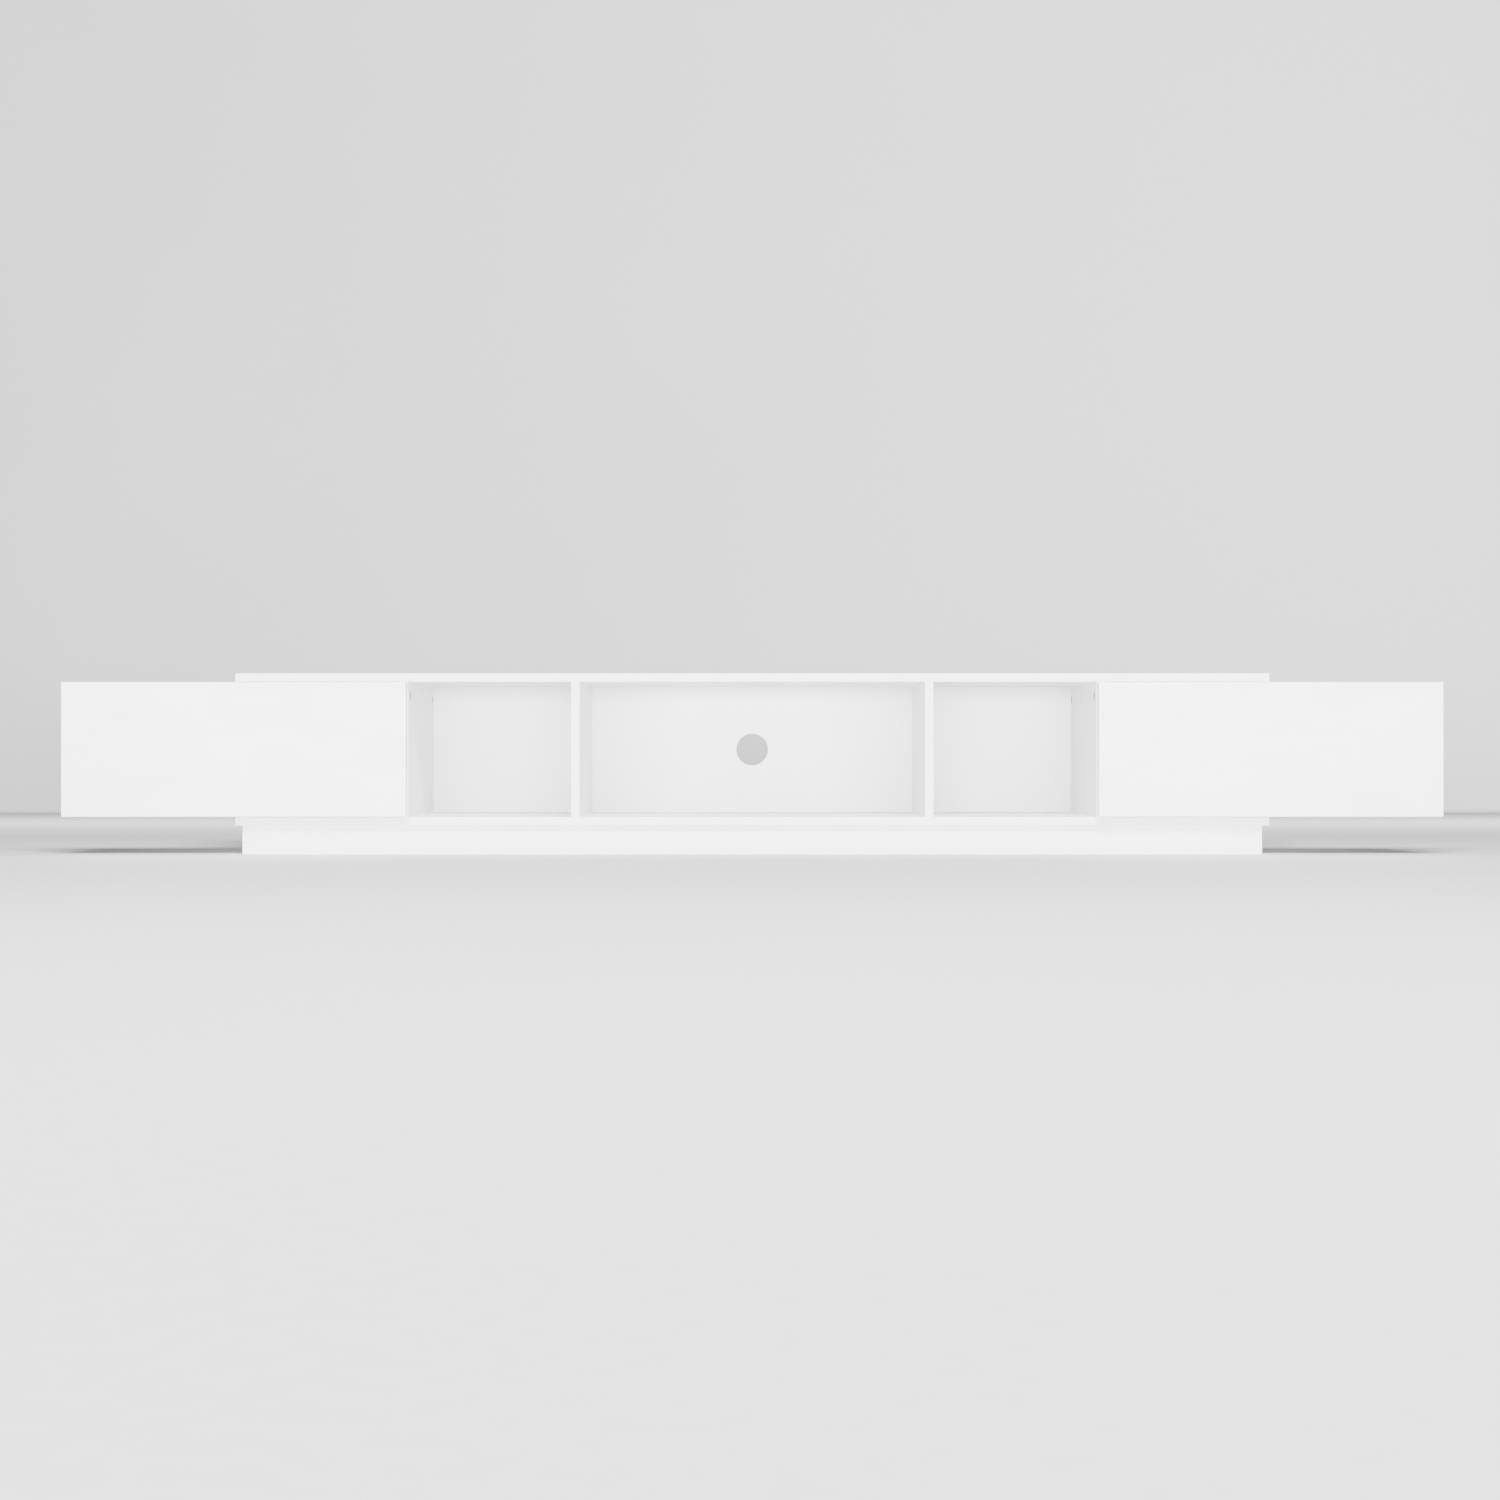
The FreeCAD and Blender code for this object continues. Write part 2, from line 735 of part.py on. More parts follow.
# an upper door leaf lies with its screw heads up, flush with the door's end
door_leaf_turns = {1: (ABOUT_X, STRAIGHT), -1: (ABOUT_Y, ABOUT_Z)}
for side, side_name in zip(SIDES, ("left", "right")):
    upper_turn, lower_turn = door_leaf_turns[side]
    copies(
        side_name + "_door_hinge_leaves",
        [
            (door_leaf, across(pivot_x, side), pivot_y, door_top_z, upper_turn),
            (door_leaf, across(pivot_x, side), pivot_y, door_bottom_z, lower_turn),
        ],
    )
    copies(
        side_name + "_door_leaf_screws",
        [
            (leaf_screw, across(pivot_x + x, side), pivot_y, z, turn)
            for x in (door_leaf_hole_a, door_leaf_hole_b)
            for z, turn in ((door_top_z, ABOUT_X), (door_bottom_z, STRAIGHT))
        ],
    )

# ---- cam fittings, dowels and long screws ----

# the cam's axis is Z with its driven face up; the bolt enters from -X, at the board's mid thickness
cam_slot = box(
    "cam_slot",
    -cam_radius,
    -cam_slot_half,
    -board_middle - cam_slot_half,
    cam_radius + cam_slot_below,
    cam_slot_half * 2,
    cam_slot_half * 2,
)
cam_drives = [
    box(
        f"cam_drive_{i + 1}",
        -long_way / 2,
        -short_way / 2,
        -drive_depth,
        long_way,
        short_way,
        drive_depth,
    )
    for i, (long_way, short_way) in enumerate(
        ((drive_length, drive_width), (drive_width, drive_length))
    )
]
cam = cut(
    "cam_pattern",
    cylinder("cam_body", ZERO, ZERO, -cam_length, cam_radius - fit_gap, cam_length),
    [cam_slot] + cam_drives,
)
cam_bolt = stack(
    "cam_bolt_pattern",
    [
        (bolt_thread_radius, ZERO, bolt_thread_length),
        (bolt_head_radius, -bolt_collar, bolt_collar),
        (bolt_shank_radius, -cam_drop, cam_drop),
        (bolt_head_radius, -cam_drop - bolt_head_half, bolt_head_half * 2),
    ],
)
dowel = stack(
    "dowel_pattern",
    [(dowel_radius, -dowel_in_upright, dowel_in_upright), (dowel_radius, ZERO, dowel_in_board)],
)
long_screw = stack(
    "long_screw_pattern",
    [
        (screw_head_radius, ZERO, screw_head_height),
        (screw_neck_radius, ZERO, board),
        (screw_core_radius, ZERO, board + screw_core_length),
    ],
)

fitting_rows = [front_y + y for y in fitting_ys]
dowel_rows = [front_y + y for y in dowel_ys]
# sides and outer dividers carry their cams on the face towards the middle,
# and inner dividers on the other face
cam_faces = [
    (side_face_x, Z_TO_MINUS_X, Z_TO_X),
    (outer_divider_x, Z_TO_MINUS_X, Z_TO_X),
    (inner_divider_x + board, Z_TO_X, Z_TO_MINUS_X),
]
copies(
    "cam_locks",
    [
        (cam, across(x, side), y, bay_ceiling_z - cam_drop, right_turn if side > 0 else left_turn)
        for side in SIDES
        for x, right_turn, left_turn in cam_faces
        for y in fitting_rows
    ],
)
copies(
    "cam_bolts",
    [
        (cam_bolt, across(x, side), y, bay_ceiling_z, STRAIGHT)
        for side in SIDES
        for x in upright_lines
        for y in fitting_rows
    ],
)
copies(
    "wood_dowels",
    [
        (dowel, across(x, side), y, z, turn)
        for side in SIDES
        for x in upright_lines
        for y in dowel_rows
        for z, turn in ((bay_ceiling_z, STRAIGHT), (bay_floor_z, ABOUT_X))
    ],
)
copies(
    "long_screws",
    [
        (long_screw, across(x, side), y, plinth_height, STRAIGHT)
        for side in SIDES
        for x in upright_lines
        for y in fitting_rows
    ],
)

# ---- plinth dowels, brackets and their screws ----

plinth_dowel = stack(
    "plinth_dowel_pattern",
    [
        (plinth_dowel_radius, -plinth_dowel_in_rail, plinth_dowel_in_rail),
        (plinth_dowel_radius, ZERO, plinth_dowel_in_cross),
    ],
)
copies(
    "plinth_dowels",
    [
        (plinth_dowel, x, y, z, turn)
        for x in cross_lines
        for z in dowel_heights
        for y, turn in ((cross_front_y, Z_TO_Y), (cross_back_y, Z_TO_MINUS_Y))
    ],
)

half_bracket = bracket_width / 2
bracket_arm = bracket_leg - bracket_sheet
screw_bore = small_screw_radius + fit_gap
upright_bore = cylinder(
    "bracket_upright_bore", ZERO, bracket_hole, -bracket_sheet, screw_bore, bracket_sheet
)
level_bore = cylinder("bracket_level_bore", ZERO, ZERO, -bracket_hole, screw_bore, bracket_sheet)
level_bore.Placement = FreeCAD.Placement(FreeCAD.Vector(), Z_TO_Y)
place(level_bore, ZERO, ZERO, -bracket_hole)
bracket = cut(
    "bracket_pattern",
    fuse(
        "bracket_blank",
        [
            box(
                "bracket_down",
                -half_bracket,
                ZERO,
                -bracket_leg,
                bracket_width,
                bracket_sheet,
                bracket_leg,
            ),
            box(
                "bracket_across",
                -half_bracket,
                bracket_sheet,
                -bracket_sheet,
                bracket_width,
                bracket_arm,
                bracket_sheet,
            ),
        ],
    ),
    [upright_bore, level_bore],
)
# the screw's head rests on z = 0 and its thread points up
small_screw = stack(
    "small_screw_pattern",
    [
        (small_head_radius, -small_head_height, small_head_height),
        (small_screw_radius, ZERO, small_screw_length),
    ],
)
bracket_sides = [(cross_front_y, 1, STRAIGHT, Z_TO_MINUS_Y), (cross_back_y, -1, ABOUT_Z, Z_TO_Y)]
bracket_spots = []
bracket_screw_spots = []
for rail_face, facing, bracket_turn, screw_turn in bracket_sides:
    for bracket_x in bracket_xs:
        bracket_spots.append((bracket, bracket_x, rail_face, plinth_height, bracket_turn))
        hole_y = rail_face + bracket_hole * facing
        head_y = rail_face + bracket_sheet * facing
        head_z = plinth_height - bracket_sheet
        bracket_screw_spots.append((small_screw, bracket_x, hole_y, head_z, STRAIGHT))
        bracket_screw_spots.append((small_screw, bracket_x, head_y, bracket_screw_z, screw_turn))
copies("plinth_brackets", bracket_spots)
copies("bracket_screws", bracket_screw_spots)

# ---- checks and export ----

doc.recompute()
for thing in doc.Objects:
    if "Invalid" in thing.State or "Error" in thing.State:
        raise RuntimeError(f"{thing.Label} failed: {thing.State}")
    if thing.TypeId == "PartDesign::Pocket":
        removed = thing.BaseFeature.Shape.Volume - thing.Shape.Volume
        if removed < 1:
            board_name = thing.getParentGeoFeatureGroup().Label
            raise RuntimeError(f"{thing.Label} in {board_name} cuts nothing")


def is_node(thing):
    if thing.Label.endswith("_pattern"):
        return False
    return thing.TypeId in ("PartDesign::Body", "Part::Compound", "Part::Mirroring")


os.makedirs("parts", exist_ok=True)
for node in filter(is_node, doc.Objects):
    if node.Shape.isNull() or not node.Shape.isValid():
        raise RuntimeError(f"{node.Label} has no valid shape")
    node.Shape.exportStep(f"parts/{node.Label}.step")
    print(node.Label, len(node.Shape.Solids), round(node.Shape.Volume))
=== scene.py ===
import json
import math
import random

import bmesh
import bpy
from mathutils import Matrix, Vector

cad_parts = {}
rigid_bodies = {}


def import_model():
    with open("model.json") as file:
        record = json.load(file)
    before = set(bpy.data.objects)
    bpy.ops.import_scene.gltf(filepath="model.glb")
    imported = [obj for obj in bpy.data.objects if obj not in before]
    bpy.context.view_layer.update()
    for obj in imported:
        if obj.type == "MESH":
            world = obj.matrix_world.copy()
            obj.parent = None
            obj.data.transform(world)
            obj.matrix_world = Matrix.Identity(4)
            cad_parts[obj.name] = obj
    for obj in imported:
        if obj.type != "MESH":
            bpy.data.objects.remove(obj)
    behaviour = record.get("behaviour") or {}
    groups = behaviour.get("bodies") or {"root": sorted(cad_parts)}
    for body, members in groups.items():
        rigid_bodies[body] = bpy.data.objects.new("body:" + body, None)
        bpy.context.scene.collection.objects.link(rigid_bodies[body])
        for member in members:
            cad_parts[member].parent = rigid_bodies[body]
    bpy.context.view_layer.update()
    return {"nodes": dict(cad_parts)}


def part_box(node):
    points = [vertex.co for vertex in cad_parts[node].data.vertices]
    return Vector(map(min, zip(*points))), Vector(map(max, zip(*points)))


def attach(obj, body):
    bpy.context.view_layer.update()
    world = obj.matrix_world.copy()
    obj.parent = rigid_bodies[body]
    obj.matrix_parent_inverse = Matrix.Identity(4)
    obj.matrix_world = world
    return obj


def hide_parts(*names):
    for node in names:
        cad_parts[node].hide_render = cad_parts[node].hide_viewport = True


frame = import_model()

nodes = frame["nodes"]
mm = 0.001
print("frame loaded:", len(nodes), "parts")


# small helpers for node trees

def addNode(tree, kind, inputs=None, **settings):
    # an input is a plain value, another node's output, or a list of outputs
    made = tree.nodes.new(kind)
    for name, value in settings.items():
        setattr(made, name, value)
    for key, value in (inputs or {}).items():
        for source in value if isinstance(value, list) else [value]:
            if isinstance(source, bpy.types.NodeSocket):
                tree.links.new(source, made.inputs[key])
            else:
                made.inputs[key].default_value = source
    return made


def firstOut(tree, kind, inputs=None, **settings):
    return addNode(tree, kind, inputs, **settings).outputs[0]


def maths(tree, operation, first, second=0.0, clamp=False):
    return firstOut(tree, "ShaderNodeMath", {0: first, 1: second}, operation=operation, use_clamp=clamp)


def vectorMaths(tree, operation, first, second=(0, 0, 0)):
    return firstOut(tree, "ShaderNodeVectorMath", {0: first, 1: second}, operation=operation)


def ramp(tree, value, low, high, atLow=0.0, atHigh=1.0):
    # a smooth step from atLow to atHigh as value goes from low to high
    spans = {0: value, 1: low, 2: high, 3: atLow, 4: atHigh}
    return firstOut(tree, "ShaderNodeMapRange", spans, interpolation_type="SMOOTHSTEP")


def mixColour(tree, share, first, second):
    return addNode(tree, "ShaderNodeMix", {0: share, 6: first, 7: second}, data_type="RGBA").outputs[2]


def noise(tree, place, scale, detail=3.0, roughness=0.55):
    sizes = {"Vector": place, "Scale": scale, "Detail": detail, "Roughness": roughness}
    return addNode(tree, "ShaderNodeTexNoise", sizes).outputs["Fac"]


def newGroup(name, inputs, outputs):
    tree = bpy.data.node_groups.new(name, "ShaderNodeTree")
    for direction, sockets in (("INPUT", inputs), ("OUTPUT", outputs)):
        for label, kind in sockets.items():
            tree.interface.new_socket(name=label, in_out=direction, socket_type="NodeSocket" + kind)
    return tree, tree.nodes.new("NodeGroupInput").outputs, tree.nodes.new("NodeGroupOutput").inputs


def useGroup(tree, group, inputs):
    return addNode(tree, "ShaderNodeGroup", inputs, node_tree=group).outputs


# shared effects

def makePanelEdges():
    # how far a point is from the panel's nearest edge, how deep it is inside the panel's box,
    # and how far it is from the sides that carry a band
    inputs = dict.fromkeys(("Position", "Low", "High", "Low Skip", "High Skip"), "Vector")
    outputs = {"Edge Distance": "Float", "Depth": "Float", "Band Distance": "Float"}
    tree, given, result = newGroup("panelEdges", inputs, outputs)
    fromLow = vectorMaths(tree, "SUBTRACT", given["Position"], given["Low"])
    fromHigh = vectorMaths(tree, "SUBTRACT", given["High"], given["Position"])
    nearest = vectorMaths(tree, "MINIMUM", fromLow, fromHigh)
    x, y, z = addNode(tree, "ShaderNodeSeparateXYZ", {0: nearest}).outputs
    smaller = maths(tree, "MINIMUM", x, y)
    larger = maths(tree, "MAXIMUM", x, y)
    middle = maths(tree, "MAXIMUM", smaller, maths(tree, "MINIMUM", larger, z))
    tree.links.new(middle, result["Edge Distance"])
    tree.links.new(maths(tree, "MINIMUM", smaller, z), result["Depth"])
    bandLow = vectorMaths(tree, "ADD", fromLow, given["Low Skip"])
    bandHigh = vectorMaths(tree, "ADD", fromHigh, given["High Skip"])
    nearestBand = vectorMaths(tree, "MINIMUM", bandLow, bandHigh)
    x, y, z = addNode(tree, "ShaderNodeSeparateXYZ", {0: nearestBand}).outputs
    tree.links.new(maths(tree, "MINIMUM", maths(tree, "MINIMUM", x, y), z), result["Band Distance"])
    return tree


wear = {"patchLimits": (0.5, 0.68), "fineScale": 900.0, "fineLimits": (0.35, 0.6)}


def makeWornEdge():
    # patchy rubbing that fades out away from an edge
    inputs = {"Position": "Vector", "Edge Distance": "Float", "Reach": "Float", "Patches": "Float"}
    tree, given, result = newGroup("wornEdge", inputs, {"Mask": "Float"})
    near = ramp(tree, given["Edge Distance"], given["Reach"], 0.0)
    broad = noise(tree, given["Position"], given["Patches"], 4.0, 0.6)
    patches = ramp(tree, broad, *wear["patchLimits"])
    fine = ramp(tree, noise(tree, given["Position"], wear["fineScale"], 2.0), *wear["fineLimits"])
    rubbed = maths(tree, "MULTIPLY", maths(tree, "MULTIPLY", near, patches), fine)
    tree.links.new(rubbed, result["Mask"])
    return tree


skinShape = {
    "pebbleShare": 0.35, "cloudScale": 5.0,
    "smearStretch": (1.0, 1.0, 2.6), "smearScales": (11.0, 70.0), "smearLimits": (0.2, 0.36),
}
cloudLimits = (0.35, 0.7)


def makeFaceRelief():
    # the pebbled skin of a pressed or sprayed face, its slow ripple, and a faint cloudiness
    inputs = {"Position": "Vector", "Pebble": "Float", "Ripple": "Float"}
    outputs = {"Height": "Float", "Cloud": "Float", "Smudge": "Float"}
    tree, given, result = newGroup("faceRelief", inputs, outputs)
    pebble = noise(tree, given["Position"], given["Pebble"], 2.0, 0.5)
    ripple = noise(tree, given["Position"], given["Ripple"], 1.0, 0.4)
    pebbles = maths(tree, "MULTIPLY", pebble, skinShape["pebbleShare"])
    tree.links.new(maths(tree, "ADD", pebbles, ripple), result["Height"])
    tree.links.new(noise(tree, given["Position"], skinShape["cloudScale"], 5.0, 0.6), result["Cloud"])
    smears = vectorMaths(tree, "MULTIPLY", given["Position"], skinShape["smearStretch"])
    broadScale, fineScale = skinShape["smearScales"]
    broad, fine = noise(tree, smears, broadScale, 6.0, 0.62), noise(tree, smears, fineScale, 3.0, 0.7)
    smudge = maths(tree, "MULTIPLY", broad, fine)
    tree.links.new(ramp(tree, smudge, *skinShape["smearLimits"]), result["Smudge"])
    return tree


dustShape = {
    "filmScale": 9.0, "filmLimits": (0.3, 0.75), "film": (0.15, 0.6),
    "speckScale": 1500.0, "speckLimits": (0.66, 0.72), "speck": (0.0, 0.8), "upLimits": (0.6, 0.95),
}


def makeSettledDust():
    # fine specks and a thin film on faces that look up
    inputs = {"Position": "Vector", "Up": "Float", "Amount": "Float"}
    tree, given, result = newGroup("settledDust", inputs, {"Mask": "Float"})
    drift = noise(tree, given["Position"], dustShape["filmScale"], 5.0, 0.65)
    film = ramp(tree, drift, *dustShape["filmLimits"], *dustShape["film"])
    grit = noise(tree, given["Position"], dustShape["speckScale"], 1.0)
    specks = ramp(tree, grit, *dustShape["speckLimits"], *dustShape["speck"])
    level = ramp(tree, given["Up"], *dustShape["upLimits"])
    dust = maths(tree, "MULTIPLY", maths(tree, "MAXIMUM", film, specks), level)
    tree.links.new(maths(tree, "MULTIPLY", dust, given["Amount"]), result["Mask"])
    return tree


chipTones = {
    "pale": (0.66, 0.50, 0.33, 1), "brown": (0.30, 0.19, 0.105, 1), "gap": (0.14, 0.085, 0.045, 1),
    "gapLimits": (0.35, 0.75), "stretch": (0.55, 0.55, 1.5), "warpScale": 210.0, "warp": 0.0035,
}


def makeChipCore():
    # pressed wood chips, as on a sawn edge or inside a bored hole
    inputs = {"Position": "Vector", "Chip Size": "Float"}
    tree, given, result = newGroup("chipCore", inputs, {"Colour": "Color", "Height": "Float"})
    size = maths(tree, "DIVIDE", 1.0, given["Chip Size"])
    laid = vectorMaths(tree, "MULTIPLY", given["Position"], chipTones["stretch"])
    waves = {"Vector": given["Position"], "Scale": chipTones["warpScale"], "Detail": 2.0}
    warp = addNode(tree, "ShaderNodeTexNoise", waves).outputs["Color"]
    blend = {0: chipTones["warp"], 4: laid, 5: warp}
    bent = addNode(tree, "ShaderNodeMix", blend, data_type="VECTOR")
    chips = addNode(tree, "ShaderNodeTexVoronoi", {"Vector": bent.outputs[1], "Scale": size})
    tone = firstOut(tree, "ShaderNodeSeparateXYZ", {0: chips.outputs["Color"]})
    colour = mixColour(tree, tone, chipTones["brown"], chipTones["pale"])
    dark = ramp(tree, chips.outputs["Distance"], *chipTones["gapLimits"])
    tree.links.new(mixColour(tree, dark, colour, chipTones["gap"]), result["Colour"])
    tree.links.new(maths(tree, "SUBTRACT", tone, dark), result["Height"])
    return tree


fibreTones = {
    "brown": (0.33, 0.205, 0.115, 1), "tan": (0.47, 0.31, 0.185, 1),
    "hollow": (0.24, 0.145, 0.08, 1), "fleck": (0.12, 0.07, 0.04, 1),
    "across": (0.35, 1.0, 1.0), "along": (1.0, 1.0, 0.35), "toneScale": 7.0,
    "threadLimits": (0.14, 0.42), "fleckScale": 420.0, "fleckLimits": (0.66, 0.72),
}


def makeFibreFace():
    # the bare brown back of hardboard: matted fibres with darker flecks
    inputs = {"Position": "Vector", "Fibre": "Float"}
    tree, given, result = newGroup("fibreFace", inputs, {"Colour": "Color", "Height": "Float"})
    across = vectorMaths(tree, "MULTIPLY", given["Position"], fibreTones["across"])
    along = vectorMaths(tree, "MULTIPLY", given["Position"], fibreTones["along"])
    crossing = [noise(tree, laid, given["Fibre"], 4.0, 0.7) for laid in (across, along)]
    threads = maths(tree, "MULTIPLY", *crossing)
    broad = noise(tree, given["Position"], fibreTones["toneScale"], 4.0, 0.6)
    base = mixColour(tree, broad, fibreTones["brown"], fibreTones["tan"])
    raised = ramp(tree, threads, *fibreTones["threadLimits"])
    lit = mixColour(tree, raised, fibreTones["hollow"], base)
    fine = noise(tree, across, fibreTones["fleckScale"], 2.0)
    flecks = ramp(tree, fine, *fibreTones["fleckLimits"])
    tree.links.new(mixColour(tree, flecks, lit, fibreTones["fleck"]), result["Colour"])
    tree.links.new(threads, result["Height"])
    return tree


metalMarks = {
    "blotchScale": 260.0, "blotchShare": 0.6, "drawn": (9.0, 1.0, 1.0),
    "scratchScale": 700.0, "scratchLimits": (0.62, 0.66), "scratchShare": 0.4,
}


def makeMetalSkin():
    # plated or cast metal: blotches, fine grain and short handling scratches
    inputs = {"Position": "Vector", "Grain": "Float"}
    tree, given, result = newGroup("metalSkin", inputs, {"Tone": "Float", "Height": "Float"})
    blotch = noise(tree, given["Position"], metalMarks["blotchScale"], 3.0, 0.6)
    grain = noise(tree, given["Position"], given["Grain"], 2.0, 0.6)
    drawn = vectorMaths(tree, "MULTIPLY", given["Position"], metalMarks["drawn"])
    lines = noise(tree, drawn, metalMarks["scratchScale"], 1.0)
    scratches = ramp(tree, lines, *metalMarks["scratchLimits"])
    blotched = maths(tree, "MULTIPLY", blotch, metalMarks["blotchShare"])
    scratched = maths(tree, "MULTIPLY", scratches, metalMarks["scratchShare"])
    tree.links.new(maths(tree, "ADD", blotched, scratched), result["Tone"])
    tree.links.new(maths(tree, "SUBTRACT", grain, scratches), result["Height"])
    return tree


panelEdges = makePanelEdges()
wornEdge = makeWornEdge()
faceRelief = makeFaceRelief()
settledDust = makeSettledDust()
chipCore = makeChipCore()
fibreFace = makeFibreFace()
metalSkin = makeMetalSkin()
print("shared effects built")


# finishes

def newFinish(name, **sockets):
    material = bpy.data.materials.new(name)
    material.use_nodes = True
    tree = material.node_tree
    shader = tree.nodes["Principled BSDF"]
    for label, value in sockets.items():
        shader.inputs[label].default_value = value
    place = tree.nodes.new("ShaderNodeTexCoord").outputs["Object"]
    return material, tree, shader, place


def facingOf(tree):
    # the x, y and z of the way a face looks
    normal = tree.nodes.new("ShaderNodeTexCoord").outputs["Normal"]
    return addNode(tree, "ShaderNodeSeparateXYZ", {0: normal}).outputs


def roughen(tree, shader, height, distance, strength=0.5):
    # fine relief from a height, as a bump on the finish
    relief = {"Strength": strength, "Distance": distance, "Height": height}
    tree.links.new(firstOut(tree, "ShaderNodeBump", relief), shader.inputs["Normal"])


whitePanel = {
    "face": (0.955, 0.955, 0.955, 1),
    "cloudy": (0.942, 0.942, 0.941, 1),
    # painted shade: every face that looks to the front is painted this darker grey
    "frontShade": (0.81, 0.81, 0.81, 1),
    "frontLimits": (-0.8, -0.9),
    "rearLimits": (0.8, 0.9),
    "glueLine": (0.50, 0.49, 0.46, 1),
    "rubbed": (0.70, 0.695, 0.68, 1),
    "dust": (0.72, 0.71, 0.69, 1),
    "bandThickness": 1.0 * mm,
    "lineWidth": 0.07 * mm,
    "lineCore": 0.4,
    "linePatches": 34.0,
    "lineStrength": (0.25, 0.8),
    "roughness": (0.40, 0.56),
    "pebble": 1300.0,
    "ripple": 95.0,
    "relief": 0.05 * mm,
    "bump": 0.6,
    "grooveDepth": 1.2,
    "wearReach": 1.6 * mm,
    "wearPatches": 26.0,
    "wearStrength": 0.5,
    "dustAmount": 0.35,
    "dustDullness": 1.4,
    "boredDepth": (0.32 * mm, 0.4 * mm),
    "rearDepth": (0.05 * mm, 0.02 * mm),
    "chipSize": 2.6 * mm,
    "chipDepth": 3.0,
    "chipRoughness": 0.85,
    "coat": 0.0,
    "coatRoughness": 0.18,
}
whiteLacquer = dict(
    whitePanel,
    # the door's whites are painted darker than the boards': painted shade that tones down its brightly
    # lit faces
    face=(0.80, 0.80, 0.80, 1),
    cloudy=(0.788, 0.788, 0.787, 1),
    roughness=(0.30, 0.44),
    pebble=620.0,
    ripple=60.0,
    relief=0.04 * mm,
    coat=0.12,
)
# the low and the high sides without a band, as 1 for each axis
unbanded = {
    "all round": ((0, 0, 1), (0, 0, 1)),
    "front": ((1, 0, 1), (1, 1, 1)),
    "ends": ((0, 1, 1), (0, 1, 1)),
    "none": ((1, 1, 1), (1, 1, 1)),
}


def whiteBoard(node, look, bands="none", bareRear=False):
    # one panel's own finish, because its edges are found from its own box
    low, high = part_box(node)
    material, tree, shader, place = newFinish("white_" + node, IOR=1.48)
    shader.inputs["Coat Weight"].default_value = look["coat"]
    shader.inputs["Coat Roughness"].default_value = look["coatRoughness"]
    lowSkip, highSkip = unbanded[bands]
    box = {"Position": place, "Low": low, "High": high, "Low Skip": lowSkip, "High Skip": highSkip}
    edges = useGroup(tree, panelEdges, box)
    skinned = {"Position": place, "Pebble": look["pebble"], "Ripple": look["ripple"]}
    relief = useGroup(tree, faceRelief, skinned)
    facing = facingOf(tree)
    rubbing = {"Position": place, "Edge Distance": edges["Edge Distance"]}
    rubbing |= {"Reach": look["wearReach"], "Patches": look["wearPatches"]}
    worn = useGroup(tree, wornEdge, rubbing)["Mask"]
    settled = {"Position": place, "Up": facing[2], "Amount": look["dustAmount"]}
    dust = useGroup(tree, settledDust, settled)["Mask"]
    core = useGroup(tree, chipCore, {"Position": place, "Chip Size": look["chipSize"]})

    cloud = ramp(tree, relief["Cloud"], *cloudLimits)
    colour = mixColour(tree, cloud, look["face"], look["cloudy"])
    # faces that look to the front take a darker grey: painted shade that tones down their strong front
    # lighting
    frontShadeMask = ramp(tree, facing[1], *look["frontLimits"])
    colour = mixColour(tree, frontShadeMask, colour, look["frontShade"])
    fromLine = maths(tree, "SUBTRACT", edges["Band Distance"], look["bandThickness"])
    offLine = maths(tree, "ABSOLUTE", fromLine)
    line = ramp(tree, offLine, look["lineWidth"], look["lineWidth"] * look["lineCore"])
    uneven = noise(tree, place, look["linePatches"], 3.0)
    patchy = ramp(tree, uneven, 0.3, 0.6, *look["lineStrength"])
    seam = maths(tree, "MULTIPLY", line, patchy)
    colour = mixColour(tree, seam, colour, look["glueLine"])
    scuffed = maths(tree, "MULTIPLY", worn, look["wearStrength"])
    colour = mixColour(tree, scuffed, colour, look["rubbed"])
    colour = mixColour(tree, dust, colour, look["dust"])

    bare = ramp(tree, edges["Depth"], *look["boredDepth"])
    if bareRear:
        rear = ramp(tree, facing[1], *look["rearLimits"])
        atRear = maths(tree, "MULTIPLY", rear, ramp(tree, edges["Depth"], *look["rearDepth"]))
        bare = maths(tree, "MAXIMUM", bare, atRear)
    colour = mixColour(tree, bare, colour, core["Colour"])
    tree.links.new(colour, shader.inputs["Base Color"])

    sheen = ramp(tree, relief["Smudge"], 0.0, 1.0, *look["roughness"])
    dusty = maths(tree, "MULTIPLY", dust, look["dustDullness"])
    dull = maths(tree, "MAXIMUM", dusty, maths(tree, "MULTIPLY", bare, look["chipRoughness"]))
    tree.links.new(maths(tree, "MAXIMUM", sheen, dull, clamp=True), shader.inputs["Roughness"])

    skin = maths(tree, "ADD", relief["Height"], maths(tree, "MULTIPLY", seam, -look["grooveDepth"]))
    chips = maths(tree, "MULTIPLY", maths(tree, "MULTIPLY", core["Height"], bare), look["chipDepth"])
    roughen(tree, shader, maths(tree, "ADD", skin, chips), look["relief"], look["bump"])
    return material


hardboard = {
    "face": (0.955, 0.955, 0.955, 1),
    "cloudy": (0.942, 0.942, 0.94, 1),
    "cutEdge": (0.66, 0.655, 0.64, 1),
    "pebble": 900.0,
    "ripple": 70.0,
    "fibre": 240.0,
    "roughness": (0.42, 0.55),
    "rearRoughness": 0.78,
    "rearLimits": (0.5, 0.7),
    "cutDepth": (0.3 * mm, 0.45 * mm),
    "relief": 0.05 * mm,
    "bump": 0.6,
    "fibreDepth": 9.6,
}


